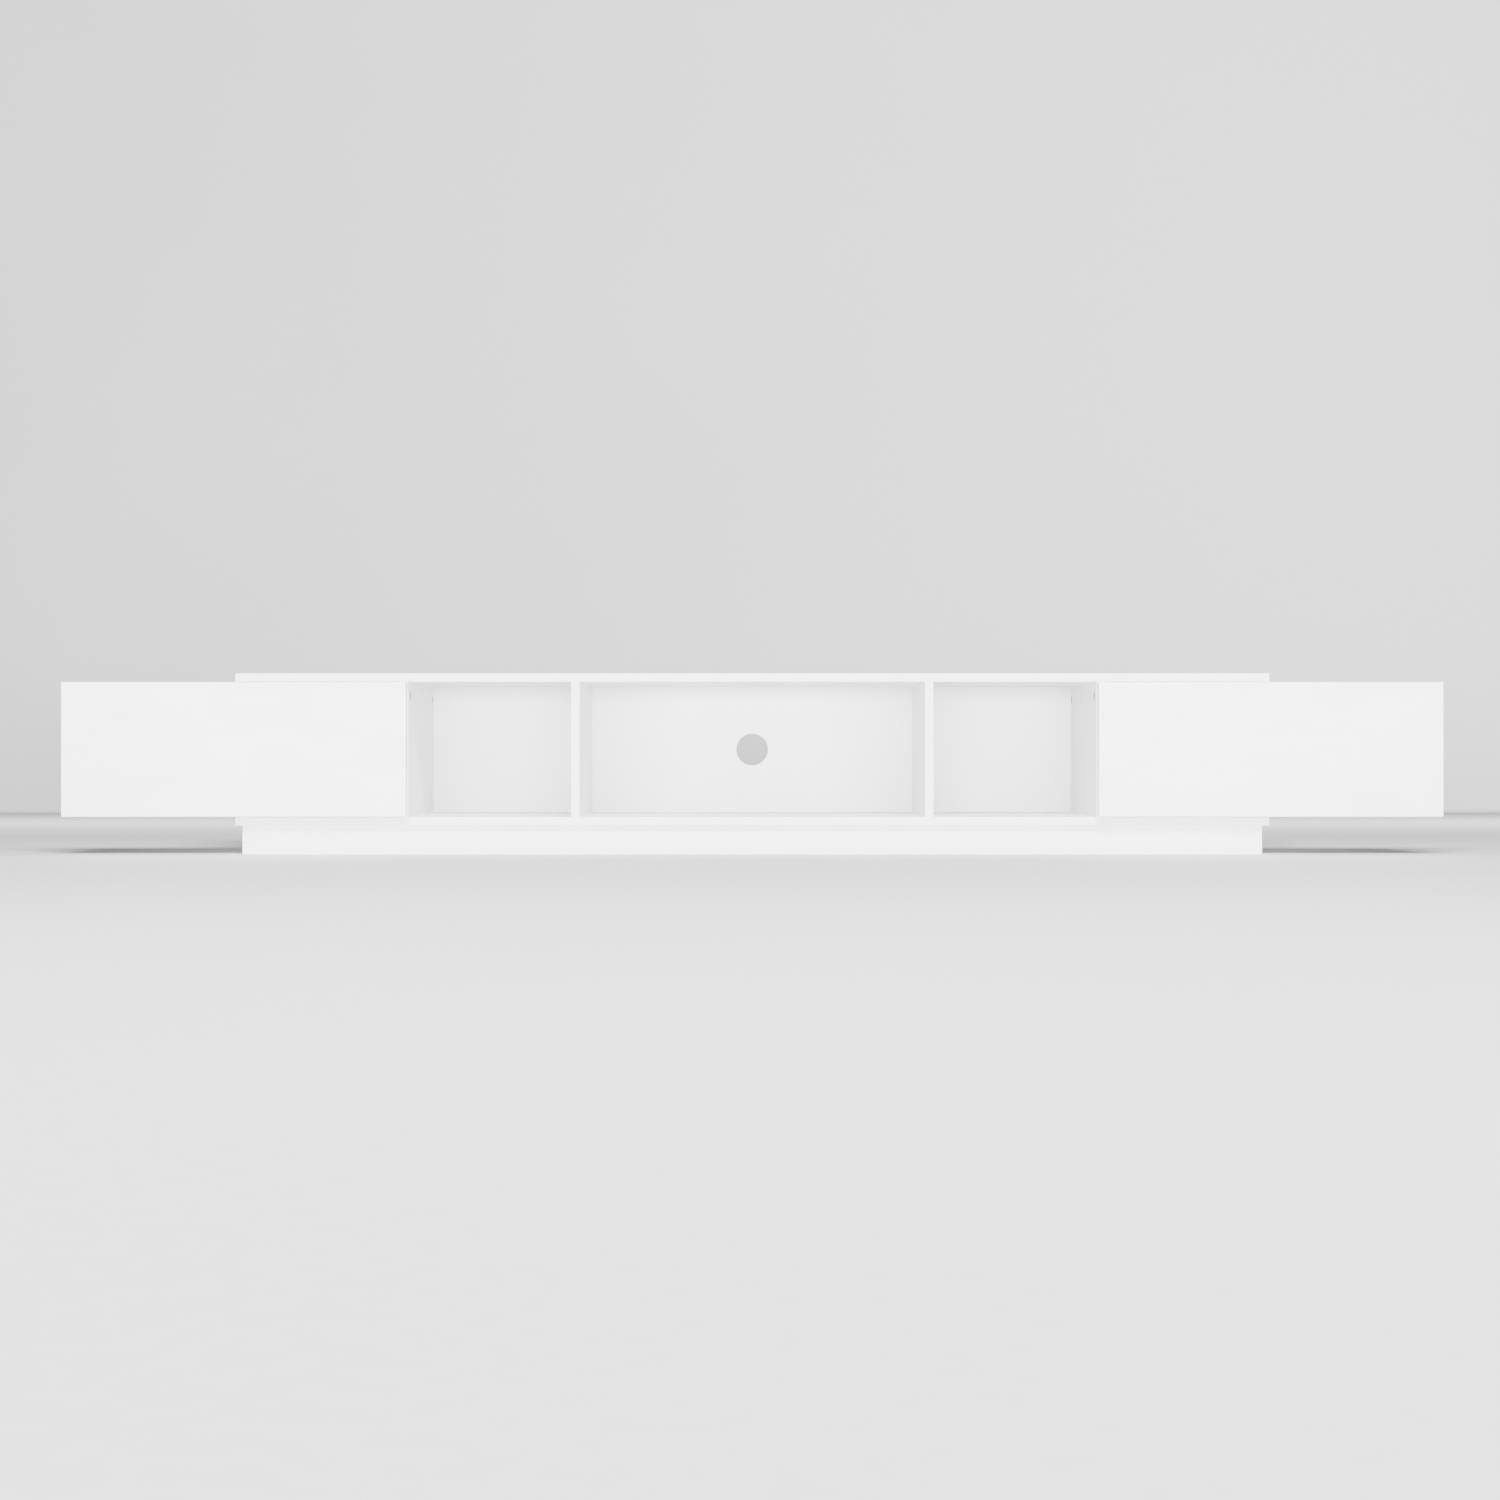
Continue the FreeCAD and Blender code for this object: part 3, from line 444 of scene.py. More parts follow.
def backBoard(node):
    # white paint in front, bare fibres behind
    low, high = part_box(node)
    material, tree, shader, place = newFinish("hardboard_" + node)
    box = {"Position": place, "Low": low, "High": high, "Low Skip": (1, 1, 1), "High Skip": (1, 1, 1)}
    inside = useGroup(tree, panelEdges, box)["Depth"]
    skin = {"Position": place, "Pebble": hardboard["pebble"], "Ripple": hardboard["ripple"]}
    relief = useGroup(tree, faceRelief, skin)
    fibre = useGroup(tree, fibreFace, {"Position": place, "Fibre": hardboard["fibre"]})
    rear = ramp(tree, facingOf(tree)[1], *hardboard["rearLimits"])
    cloud = ramp(tree, relief["Cloud"], *cloudLimits)
    face = mixColour(tree, cloud, hardboard["face"], hardboard["cloudy"])
    sawn = ramp(tree, inside, *hardboard["cutDepth"])
    face = mixColour(tree, sawn, face, hardboard["cutEdge"])
    tree.links.new(mixColour(tree, rear, face, fibre["Colour"]), shader.inputs["Base Color"])
    smooth = ramp(tree, relief["Smudge"], 0.0, 1.0, *hardboard["roughness"])
    coarse = maths(tree, "MULTIPLY", rear, hardboard["rearRoughness"])
    tree.links.new(maths(tree, "MAXIMUM", smooth, coarse), shader.inputs["Roughness"])
    front = maths(tree, "MULTIPLY", relief["Height"], maths(tree, "SUBTRACT", 1.0, rear))
    depth = maths(tree, "MULTIPLY", rear, hardboard["fibreDepth"])
    back = maths(tree, "MULTIPLY", fibre["Height"], depth)
    height = maths(tree, "ADD", front, back)
    roughen(tree, shader, height, hardboard["relief"], hardboard["bump"])
    return material


metals = {
    "zincPlate": {
        "dark": (0.42, 0.43, 0.45, 1), "light": (0.74, 0.75, 0.77, 1),
        "grain": 2600.0, "roughness": (0.44, 0.26), "relief": 0.02 * mm,
    },
    "castZinc": {
        "dark": (0.12, 0.122, 0.126, 1), "light": (0.27, 0.273, 0.278, 1),
        "grain": 3400.0, "roughness": (0.62, 0.45), "relief": 0.05 * mm, "edgeTint": (0.3, 0.3, 0.3, 1),
    },
    "drawnSteel": {
        "dark": (0.36, 0.36, 0.36, 1), "light": (0.62, 0.62, 0.61, 1),
        "grain": 3000.0, "roughness": (0.36, 0.2), "relief": 0.02 * mm,
    },
    "galvanisedSheet": {
        "dark": (0.45, 0.46, 0.48, 1), "light": (0.70, 0.71, 0.73, 1),
        "grain": 900.0, "roughness": (0.52, 0.34), "relief": 0.03 * mm,
    },
}


def metalFinish(name):
    look = metals[name]
    material, tree, shader, place = newFinish(name, Metallic=1.0)
    shader.inputs["Specular Tint"].default_value = look.get("edgeTint", (1, 1, 1, 1))
    skin = useGroup(tree, metalSkin, {"Position": place, "Grain": look["grain"]})
    colour = mixColour(tree, skin["Tone"], look["dark"], look["light"])
    tree.links.new(colour, shader.inputs["Base Color"])
    rough = ramp(tree, skin["Tone"], 0.1, 0.8, *look["roughness"])
    tree.links.new(rough, shader.inputs["Roughness"])
    roughen(tree, shader, skin["Height"], look["relief"])
    return material


leafCoat = {
    "white": (0.84, 0.84, 0.838, 1), "cloudy": (0.79, 0.79, 0.785, 1), "chip": (0.42, 0.42, 0.42, 1),
    "pebble": 2400.0, "ripple": 500.0, "roughness": (0.34, 0.5), "relief": 0.04 * mm,
    "chipScale": 420.0, "chipLimits": (0.7, 0.74),
}


def coatedSteel():
    # the white powder coat of the hinge leaves, with a few chips
    material, tree, shader, place = newFinish("whiteCoatedSteel", IOR=1.5)
    skin = {"Position": place, "Pebble": leafCoat["pebble"], "Ripple": leafCoat["ripple"]}
    relief = useGroup(tree, faceRelief, skin)
    patches = noise(tree, place, leafCoat["chipScale"], 3.0, 0.7)
    chipped = ramp(tree, patches, *leafCoat["chipLimits"])
    white = mixColour(tree, relief["Cloud"], leafCoat["white"], leafCoat["cloudy"])
    tree.links.new(mixColour(tree, chipped, white, leafCoat["chip"]), shader.inputs["Base Color"])
    rough = ramp(tree, relief["Smudge"], 0.0, 1.0, *leafCoat["roughness"])
    tree.links.new(rough, shader.inputs["Roughness"])
    roughen(tree, shader, maths(tree, "SUBTRACT", relief["Height"], chipped), leafCoat["relief"])
    return material


nylon = {
    "milky": (0.83, 0.83, 0.81, 1), "cloudy": (0.76, 0.76, 0.73, 1),
    "glow": 0.15, "glowReach": 0.6 * mm, "roughness": (0.38, 0.5),
    "pebble": 1800.0, "ripple": 400.0, "relief": 0.03 * mm, "bump": 0.3,
}


def milkyNylon():
    material, tree, shader, place = newFinish("milkyNylon", IOR=1.53)
    shader.inputs["Subsurface Weight"].default_value = nylon["glow"]
    shader.inputs["Subsurface Scale"].default_value = nylon["glowReach"]
    skin = {"Position": place, "Pebble": nylon["pebble"], "Ripple": nylon["ripple"]}
    relief = useGroup(tree, faceRelief, skin)
    colour = mixColour(tree, relief["Cloud"], nylon["milky"], nylon["cloudy"])
    tree.links.new(colour, shader.inputs["Base Color"])
    rough = ramp(tree, relief["Smudge"], 0.0, 1.0, *nylon["roughness"])
    tree.links.new(rough, shader.inputs["Roughness"])
    roughen(tree, shader, relief["Height"], nylon["relief"], nylon["bump"])
    return material


beech = {
    "pale": (0.70, 0.50, 0.31, 1), "deep": (0.56, 0.37, 0.21, 1), "fleck": (0.36, 0.21, 0.11, 1),
    "figure": 320.0, "figureLimits": (0.3, 0.7), "roughness": (0.5, 0.66), "relief": 0.1 * mm,
    "flecks": 1900.0, "fleckLimits": (0.58, 0.66), "fleckStrength": 0.6,
}


def beechWood(name, stretch):
    # stretch is small along the grain
    material, tree, shader, place = newFinish(name)
    laid = vectorMaths(tree, "MULTIPLY", place, stretch)
    broad = noise(tree, laid, beech["figure"], 4.0, 0.6)
    flecks = ramp(tree, noise(tree, laid, beech["flecks"], 2.0), *beech["fleckLimits"])
    figure = ramp(tree, broad, *beech["figureLimits"])
    wood = mixColour(tree, figure, beech["pale"], beech["deep"])
    strength = maths(tree, "MULTIPLY", flecks, beech["fleckStrength"])
    flecked = mixColour(tree, strength, wood, beech["fleck"])
    tree.links.new(flecked, shader.inputs["Base Color"])
    tree.links.new(ramp(tree, broad, 0.2, 0.8, *beech["roughness"]), shader.inputs["Roughness"])
    roughen(tree, shader, broad, beech["relief"])
    return material


def dress(node, material):
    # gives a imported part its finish
    for slot in nodes[node].material_slots:
        slot.link = "OBJECT"
        slot.material = material


for node in ("top_panel", "bottom_panel"):
    dress(node, whiteBoard(node, whitePanel, "all round"))
for side in ("left", "right"):
    for upright in ("side_panel", "outer_divider", "inner_divider"):
        node = f"{side}_{upright}"
        dress(node, whiteBoard(node, whitePanel, "front", bareRear=True))
    dress(f"{side}_door_panel", whiteBoard(f"{side}_door_panel", whiteLacquer))
    for back in ("end_back", "back"):
        dress(f"{side}_{back}", backBoard(f"{side}_{back}"))
    for crossPiece in ("end", "brace"):
        node = f"plinth_{side}_{crossPiece}"
        dress(node, whiteBoard(node, whitePanel))
dress("centre_back", backBoard("centre_back"))
dress("plinth_centre_brace", whiteBoard("plinth_centre_brace", whitePanel))
for rail in ("plinth_front_rail", "plinth_back_rail"):
    dress(rail, whiteBoard(rail, whitePanel, "ends"))

zincPlate = metalFinish("zincPlate")
castZinc = metalFinish("castZinc")
coated = coatedSteel()
for node in ("frame_hinge_leaves", "left_door_hinge_leaves", "right_door_hinge_leaves"):
    dress(node, coated)
dress("hinge_washers", milkyNylon())
dress("hinge_pins", metalFinish("drawnSteel"))
dress("plinth_brackets", metalFinish("galvanisedSheet"))
dress("cam_bolts", zincPlate)
print("finishes on the packed parts")


# turned and cast pieces: geometry node trees, one object for each body

def newShape(name, sizes):
    tree = bpy.data.node_groups.new(name, "GeometryNodeTree")
    tree.interface.new_socket(name="Spots", in_out="INPUT", socket_type="NodeSocketGeometry")
    for label in sizes:
        tree.interface.new_socket(name=label, in_out="INPUT", socket_type="NodeSocketFloat")
    tree.interface.new_socket(name="Finish", in_out="INPUT", socket_type="NodeSocketMaterial")
    tree.interface.new_socket(name="Pieces", in_out="OUTPUT", socket_type="NodeSocketGeometry")
    return tree, tree.nodes.new("NodeGroupInput").outputs


def choose(tree, values):
    # the value whose number in the list is the point's own index
    made = addNode(tree, "GeometryNodeIndexSwitch", data_type="FLOAT")
    while len(made.index_switch_items) < len(values):
        made.index_switch_items.new()
    tree.links.new(firstOut(tree, "GeometryNodeInputIndex"), made.inputs["Index"])
    for i, value in enumerate(values):
        if isinstance(value, bpy.types.NodeSocket):
            tree.links.new(value, made.inputs[i + 1])
        else:
            made.inputs[i + 1].default_value = value
    return made.outputs[0]


def lathe(tree, stations, profile):
    # turns a profile through (height, radius) stations along Z
    line = firstOut(tree, "GeometryNodeMeshLine", {"Count": len(stations)})
    heights = choose(tree, [height for height, radius in stations])
    radii = choose(tree, [radius for height, radius in stations])
    spot = firstOut(tree, "ShaderNodeCombineXYZ", {2: heights})
    placed = firstOut(tree, "GeometryNodeSetPosition", {"Geometry": line, "Position": spot})
    stored = {"Geometry": placed, "Name": "girth", "Value": radii}
    kept = firstOut(tree, "GeometryNodeStoreNamedAttribute", stored, data_type="FLOAT", domain="POINT")
    axis = firstOut(tree, "GeometryNodeMeshToCurve", {0: kept})
    girth = firstOut(tree, "GeometryNodeInputNamedAttribute", {"Name": "girth"}, data_type="FLOAT")
    swept = {"Curve": axis, "Profile Curve": profile, "Scale": girth, "Fill Caps": True}
    return firstOut(tree, "GeometryNodeCurveToMesh", swept)


def roundProfile(tree, sides):
    return firstOut(tree, "GeometryNodeCurvePrimitiveCircle", {"Resolution": sides, "Radius": 1.0})


def cutAway(tree, body, cutters):
    parts = {0: body, 1: cutters}
    return firstOut(tree, "GeometryNodeMeshBoolean", parts, operation="DIFFERENCE", solver="EXACT")


def crossRecess(tree, body, length, width, depth):
    # cuts two crossed slots into the face at z = 0
    reach = maths(tree, "MULTIPLY", depth, 2.0)
    bars = []
    for x, y in ((length, width), (width, length)):
        size = firstOut(tree, "ShaderNodeCombineXYZ", {0: x, 1: y, 2: reach})
        bars.append(firstOut(tree, "GeometryNodeMeshCube", {"Size": size}))
    return cutAway(tree, body, bars)


creaseAngle = 0.55  # radians; sharper edges stay crisp


def scatter(tree, given, shape):
    # copies the shape to the spots and makes the copies real
    smooth = firstOut(tree, "GeometryNodeSetShadeSmooth", {"Geometry": shape, "Shade Smooth": True})
    sharp = maths(tree, "GREATER_THAN", firstOut(tree, "GeometryNodeInputMeshEdgeAngle"), creaseAngle)
    creased = {"Geometry": smooth, "Selection": sharp, "Shade Smooth": False}
    crisp = firstOut(tree, "GeometryNodeSetShadeSmooth", creased, domain="EDGE")
    turn = firstOut(tree, "GeometryNodeInputNamedAttribute", {"Name": "turn"}, data_type="QUATERNION")
    copied = {"Points": given["Spots"], "Instance": crisp, "Rotation": turn}
    copies = firstOut(tree, "GeometryNodeInstanceOnPoints", copied)
    real = firstOut(tree, "GeometryNodeRealizeInstances", {0: copies})
    dressed = firstOut(tree, "GeometryNodeSetMaterial", {"Geometry": real, "Material": given["Finish"]})
    addNode(tree, "NodeGroupOutput", {"Pieces": dressed})


leafScrew = {
    "Head Radius": 2.5 * mm, "Head Height": 1.2 * mm, "Neck Radius": 1.5 * mm, "Neck End": 2.2 * mm,
    "Core Radius": 1.05 * mm, "Length": 10.0 * mm, "Thread Depth": 0.4 * mm, "Pitch": 1.2 * mm,
    "Drive Length": 3.0 * mm, "Drive Width": 0.7 * mm, "Drive Depth": 0.9 * mm,
}
bracketScrew = {
    "Head Radius": 3.4 * mm, "Head Height": 2.0 * mm, "Neck Radius": 1.5 * mm, "Neck End": 4.2 * mm,
    "Core Radius": 1.05 * mm, "Length": 14.0 * mm, "Thread Depth": 0.4 * mm, "Pitch": 1.3 * mm,
    "Drive Length": 4.0 * mm, "Drive Width": 0.9 * mm, "Drive Depth": 1.4 * mm,
}
longScrew = {
    "Head Radius": 5.0 * mm, "Head Height": 3.0 * mm, "Neck Radius": 3.5 * mm, "Neck End": 15.0 * mm,
    "Core Radius": 1.9 * mm, "Length": 49.0 * mm, "Thread Depth": 0.58 * mm, "Pitch": 3.0 * mm,
    "Drive Length": 5.4 * mm, "Drive Width": 1.2 * mm, "Drive Depth": 2.2 * mm,
}


# bevel is a share of the head's height, tip and point are shares of the core's radius
screwForm = {"bevel": 0.25, "tip": 1.6, "point": 0.25, "sides": 40, "threadSteps": 20}


def makeScrewShape():
    # head face at z = 0, point at the far end, with a rolled thread below the neck
    tree, given = newShape("screwShape", leafScrew)
    step = 0.01 * mm
    bevel = maths(tree, "MULTIPLY", given["Head Height"], screwForm["bevel"])
    under = maths(tree, "ADD", given["Head Height"], step)
    shoulder = maths(tree, "ADD", given["Neck End"], step)
    tip = maths(tree, "MULTIPLY", given["Core Radius"], screwForm["tip"])
    stations = [
        (0.0, maths(tree, "SUBTRACT", given["Head Radius"], bevel)),
        (bevel, given["Head Radius"]),
        (given["Head Height"], given["Head Radius"]),
        (under, given["Neck Radius"]),
        (given["Neck End"], given["Neck Radius"]),
        (shoulder, given["Core Radius"]),
        (maths(tree, "SUBTRACT", given["Length"], tip), given["Core Radius"]),
        (given["Length"], maths(tree, "MULTIPLY", given["Core Radius"], screwForm["point"])),
    ]
    turned = lathe(tree, stations, roundProfile(tree, screwForm["sides"]))
    cut = crossRecess(tree, turned, given["Drive Length"], given["Drive Width"], given["Drive Depth"])
    start = maths(tree, "ADD", shoulder, given["Pitch"])
    rise = maths(tree, "SUBTRACT", maths(tree, "SUBTRACT", given["Length"], tip), start)
    turns = maths(tree, "DIVIDE", rise, given["Pitch"])
    coil = {"Resolution": screwForm["threadSteps"], "Rotations": turns, "Height": rise}
    coil |= {"Start Radius": given["Core Radius"], "End Radius": given["Core Radius"]}
    spiral = firstOut(tree, "GeometryNodeCurveSpiral", coil)
    level = firstOut(tree, "GeometryNodeSetCurveNormal", {"Curve": spiral}, mode="Z_UP")
    diamond = {"Resolution": 4, "Radius": given["Thread Depth"]}
    ridge = firstOut(tree, "GeometryNodeCurvePrimitiveCircle", diamond)
    wound = {"Curve": level, "Profile Curve": ridge, "Fill Caps": True}
    thread = firstOut(tree, "GeometryNodeCurveToMesh", wound)
    lift = firstOut(tree, "ShaderNodeCombineXYZ", {2: start})
    raised = firstOut(tree, "GeometryNodeTransform", {"Geometry": thread, "Translation": lift})
    whole = firstOut(tree, "GeometryNodeJoinGeometry", {0: [cut, raised]})
    scatter(tree, given, whole)
    return tree


camLock = {
    "Radius": 7.45 * mm, "Length": 12.2 * mm, "Chamfer": 0.35 * mm,
    "Drive Length": 9.0 * mm, "Drive Width": 1.5 * mm, "Drive Depth": 1.6 * mm,
    "Slot Height": 7.5 * mm, "Slot Width": 7.6 * mm, "Slot Reach": 13.4 * mm,
    "Mark Size": 0.9 * mm, "Mark Depth": 0.7 * mm, "Mark Offset": 5.7 * mm,
}


camForm = {"sides": 56, "overshoot": 1.0 * mm}


def makeCamShape():
    # driven face at z = 0; the slot that takes the bolt's head opens towards +X
    tree, given = newShape("camShape", camLock)
    stations = [
        (0.0, maths(tree, "SUBTRACT", given["Radius"], given["Chamfer"])),
        (given["Chamfer"], given["Radius"]),
        (maths(tree, "SUBTRACT", given["Length"], given["Chamfer"]), given["Radius"]),
        (given["Length"], maths(tree, "SUBTRACT", given["Radius"], given["Chamfer"])),
    ]
    drum = lathe(tree, stations, roundProfile(tree, camForm["sides"]))
    cut = crossRecess(tree, drum, given["Drive Length"], given["Drive Width"], given["Drive Depth"])
    slotSides = {0: given["Slot Reach"], 1: given["Slot Width"], 2: given["Slot Width"]}
    slotSize = firstOut(tree, "ShaderNodeCombineXYZ", slotSides)
    mouth = maths(tree, "ADD", given["Radius"], camForm["overshoot"])
    slotX = maths(tree, "SUBTRACT", mouth, maths(tree, "MULTIPLY", given["Slot Reach"], 0.5))
    slotSpot = firstOut(tree, "ShaderNodeCombineXYZ", {0: slotX, 2: given["Slot Height"]})
    slot = firstOut(tree, "GeometryNodeMeshCube", {"Size": slotSize})
    slot = firstOut(tree, "GeometryNodeTransform", {"Geometry": slot, "Translation": slotSpot})
    wedge = {"Vertices": 3, "Radius": given["Mark Size"], "Depth": given["Mark Depth"]}
    mark = firstOut(tree, "GeometryNodeMeshCylinder", wedge)
    markSpot = firstOut(tree, "ShaderNodeCombineXYZ", {0: given["Mark Offset"]})
    mark = firstOut(tree, "GeometryNodeTransform", {"Geometry": mark, "Translation": markSpot})
    scatter(tree, given, cutAway(tree, cut, [slot, mark]))
    return tree


dowel = {"Radius": 3.98 * mm, "Length": 30.0 * mm, "Chamfer": 0.9 * mm, "Flute Depth": 0.06}
plinthDowel = {"Radius": 2.98 * mm, "Length": 28.0 * mm, "Chamfer": 0.7 * mm, "Flute Depth": 0.07}
dowelForm = {"sides": 72, "sidesPerFlute": 3.0}


def makeDowelShape():
    # a fluted dowel with chamfered ends, from z = 0 to its length
    tree, given = newShape("dowelShape", dowel)
    circle = roundProfile(tree, dowelForm["sides"])
    index = firstOut(tree, "GeometryNodeInputIndex")
    count = maths(tree, "MODULO", index, dowelForm["sidesPerFlute"])
    inFlute = maths(tree, "LESS_THAN", count, 0.5)
    shallow = maths(tree, "SUBTRACT", 1.0, maths(tree, "MULTIPLY", inFlute, given["Flute Depth"]))
    position = firstOut(tree, "GeometryNodeInputPosition")
    drawn = firstOut(tree, "ShaderNodeVectorMath", {0: position, "Scale": shallow}, operation="SCALE")
    fluted = firstOut(tree, "GeometryNodeSetPosition", {"Geometry": circle, "Position": drawn})
    small = maths(tree, "SUBTRACT", given["Radius"], given["Chamfer"])
    stations = [
        (0.0, small),
        (given["Chamfer"], given["Radius"]),
        (maths(tree, "SUBTRACT", given["Length"], given["Chamfer"]), given["Radius"]),
        (given["Length"], small),
    ]
    scatter(tree, given, lathe(tree, stations, fluted))
    return tree


weldDistance = 0.001 * mm
faceDepth = 0.2 * mm


def span(points, axis):
    return min(p[axis] for p in points), max(p[axis] for p in points)


def solidsOf(node):
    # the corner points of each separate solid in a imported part, from a merged copy of its mesh
    shape = bmesh.new()
    shape.from_mesh(nodes[node].data)
    bmesh.ops.remove_doubles(shape, verts=shape.verts, dist=weldDistance)
    found = []
    left = set(shape.verts)
    while left:
        island, edge = set(), [left.pop()]
        while edge:
            vertex = edge.pop()
            island.add(vertex)
            for link in vertex.link_edges:
                other = link.other_vert(vertex)
                if other in left:
                    left.remove(other)
                    edge.append(other)
        found.append([vertex.co.copy() for vertex in island])
    shape.free()
    found.sort(key=lambda points: tuple(round(span(points, i)[0], 5) for i in range(3)))
    return found


def axisOf(points):
    # a turned solid's axis is the one whose length is unlike the other two
    spans = [span(points, i) for i in range(3)]
    sizes = [top - bottom for bottom, top in spans]
    axis = min(range(3), key=lambda i: abs(sizes[(i + 1) % 3] - sizes[(i + 2) % 3]))
    middle = Vector((top + bottom) / 2 for bottom, top in spans)
    return axis, middle, sizes[axis]


def turnFor(inwards, across):
    # local Z points inwards and local X across
    side = inwards.cross(across)
    return Matrix((across, side, inwards)).transposed().to_quaternion()


def screwSpots(node, seed):
    # each screw starts at its wide end, its drive turned at random
    dice = random.Random(seed)
    spots = []
    for points in solidsOf(node):
        axis, middle, length = axisOf(points)
        flat = [i for i in range(3) if i != axis]
        girth = {}
        for end in (-1, 1):
            face = middle[axis] + end * length / 2
            near = [p for p in points if abs(p[axis] - face) < faceDepth]
            girth[end] = max(math.hypot(*(p[i] - middle[i] for i in flat)) for p in near)
        end = 1 if girth[1] > girth[-1] else -1
        start = middle.copy()
        start[axis] += end * length / 2
        inwards = Vector(-end if i == axis else 0 for i in range(3))
        angle = dice.uniform(0, math.pi / 2)
        across = Vector((0, 0, 0))
        across[flat[0]], across[flat[1]] = math.cos(angle), math.sin(angle)
        spots.append((start, turnFor(inwards, across)))
    return spots


def camSpots(node):
    # the driven face is flush with one face of the upright that holds the cam
    uprights = [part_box(name) for name in nodes if name.endswith(("side_panel", "divider"))]
    spots = []
    for points in solidsOf(node):
        axis, middle, length = axisOf(points)
        low, high = next(box for box in uprights if box[0].x < middle.x < box[1].x)
        end = 1 if high.x - middle.x < middle.x - low.x else -1
        start = middle + Vector((end * length / 2, 0, 0))
        spots.append((start, turnFor(Vector((-end, 0, 0)), Vector((0, 0, 1)))))
    return spots


def dowelSpots(node):
    spots = []
    for points in solidsOf(node):
        axis, middle, length = axisOf(points)
        inwards = Vector(1 if i == axis else 0 for i in range(3))
        start = middle - inwards * length / 2
        spots.append((start, turnFor(inwards, Vector((1, 0, 0)))))
    return spots


def growPieces(name, node, shape, spots, sizes, finish, body="root"):
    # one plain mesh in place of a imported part, riding on the part's body
    mesh = bpy.data.meshes.new(name)
    mesh.from_pydata([spot for spot, turn in spots], [], [])
    turns = mesh.attributes.new("turn", "QUATERNION", "POINT").data
    for item, (spot, turn) in zip(turns, spots):
        item.value = turn
    piece = bpy.data.objects.new(name, mesh)
    bpy.context.collection.objects.link(piece)
    modifier = piece.modifiers.new("shape", "NODES")
    modifier.node_group = shape
    inputs = [item for item in shape.interface.items_tree if item.in_out == "INPUT"]
    sockets = {item.name: item.identifier for item in inputs}
    for label, value in sizes.items():
        modifier[sockets[label]] = value
    modifier[sockets["Finish"]] = finish
    depsgraph = bpy.context.evaluated_depsgraph_get()
    grown = bpy.data.meshes.new_from_object(piece.evaluated_get(depsgraph), depsgraph=depsgraph)
    piece.modifiers.remove(modifier)
    piece.data = grown
    grown.name = name
    bpy.data.meshes.remove(mesh)
    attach(piece, body)
    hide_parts(node)
    print(name, len(spots), "pieces,", len(grown.polygons), "faces")


screwShape = makeScrewShape()
camShape = makeCamShape()
dowelShape = makeDowelShape()

growPieces("camLocks", "cam_locks", camShape, camSpots("cam_locks"), camLock, castZinc)
screwKinds = (
    ("frameLeafScrews", "frame_leaf_screws", 11, leafScrew, "root"),
    ("leftDoorLeafScrews", "left_door_leaf_screws", 12, leafScrew, "left_door"),
    ("rightDoorLeafScrews", "right_door_leaf_screws", 13, leafScrew, "right_door"),
    ("bracketScrews", "bracket_screws", 14, bracketScrew, "root"),
    ("longScrews", "long_screws", 15, longScrew, "root"),
)
for name, node, seed, sizes, body in screwKinds:
    growPieces(name, node, screwShape, screwSpots(node, seed), sizes, zincPlate, body)
dowelKinds = (
    ("woodDowels", "wood_dowels", dowel, beechWood("beechUpright", (1, 1, 0.12))),
    ("plinthDowels", "plinth_dowels", plinthDowel, beechWood("beechLying", (1, 0.12, 1))),
)
for name, node, sizes, finish in dowelKinds:
    growPieces(name, node, dowelShape, dowelSpots(node), sizes, finish)
print("fittings grown")


# room, lights and camera

room = {
    "side": 9.0,
    "front": -6.0,
    "rear": 3.0,
    "height": 6.0,
    "floor": (0.725, 0.725, 0.725, 1),
    "floorDeep": (0.705, 0.705, 0.705, 1),
    # painted shade: the floor darkens towards the front
    "nearFloorShade": (0.395, 0.395, 0.395, 1),
    "floorShadeFade": (-1.5, -6.0),
    "wall": (0.475, 0.475, 0.475, 1),
    "wallDeep": (0.46, 0.46, 0.46, 1),
    # painted light: the wall lightens towards the right
    "wallRightLight": (0.60, 0.60, 0.60, 1),
    "wallLightFade": (-1.5, 3.0),
    # painted shade along the wall's foot
    "wallFootShade": (0.38, 0.38, 0.38, 1),
    "footShadeHeight": 0.012,
    "beyond": (1.6, 1.6, 1.6, 1),
    "ambient": (1.0, 1.0, 1.0, 1),
    "ambientStrength": 0.03,
    "cloudScale": 1.3,
    "grainScale": 60.0,
    "paintLimits": (0.3, 0.7),
    "roughness": (0.65, 0.8),
}


def makeStagePlane(name, corners, material):
    shape = bmesh.new()
    shape.faces.new([shape.verts.new(corner) for corner in corners])
    mesh = bpy.data.meshes.new(name)
    shape.to_mesh(mesh)
    shape.free()
    mesh.materials.append(material)
    plane = bpy.data.objects.new(name, mesh)
    bpy.context.collection.objects.link(plane)
    return plane


def paleFinish(name, colours, axis, fade):
    # matt paint, cloudy between its first two colours and drifting to the third along one axis; that
    # drift is painted shade on the floor and painted light on the wall
    colour, deep, lightAndShade = (room[key] for key in colours)
    material, tree, shader, place = newFinish(name)
    cloud = ramp(tree, noise(tree, place, room["cloudScale"], 4.0), *room["paintLimits"])
    along = addNode(tree, "ShaderNodeSeparateXYZ", {0: place}).outputs[axis]
    paint = mixColour(tree, ramp(tree, along, *fade), mixColour(tree, cloud, colour, deep), lightAndShade)
    tree.links.new(paint, shader.inputs["Base Color"])
    grain = noise(tree, place, room["grainScale"], 3.0)
    rough = ramp(tree, grain, *room["paintLimits"], *room["roughness"])
    tree.links.new(rough, shader.inputs["Roughness"])
    return material, tree, shader, place, paint


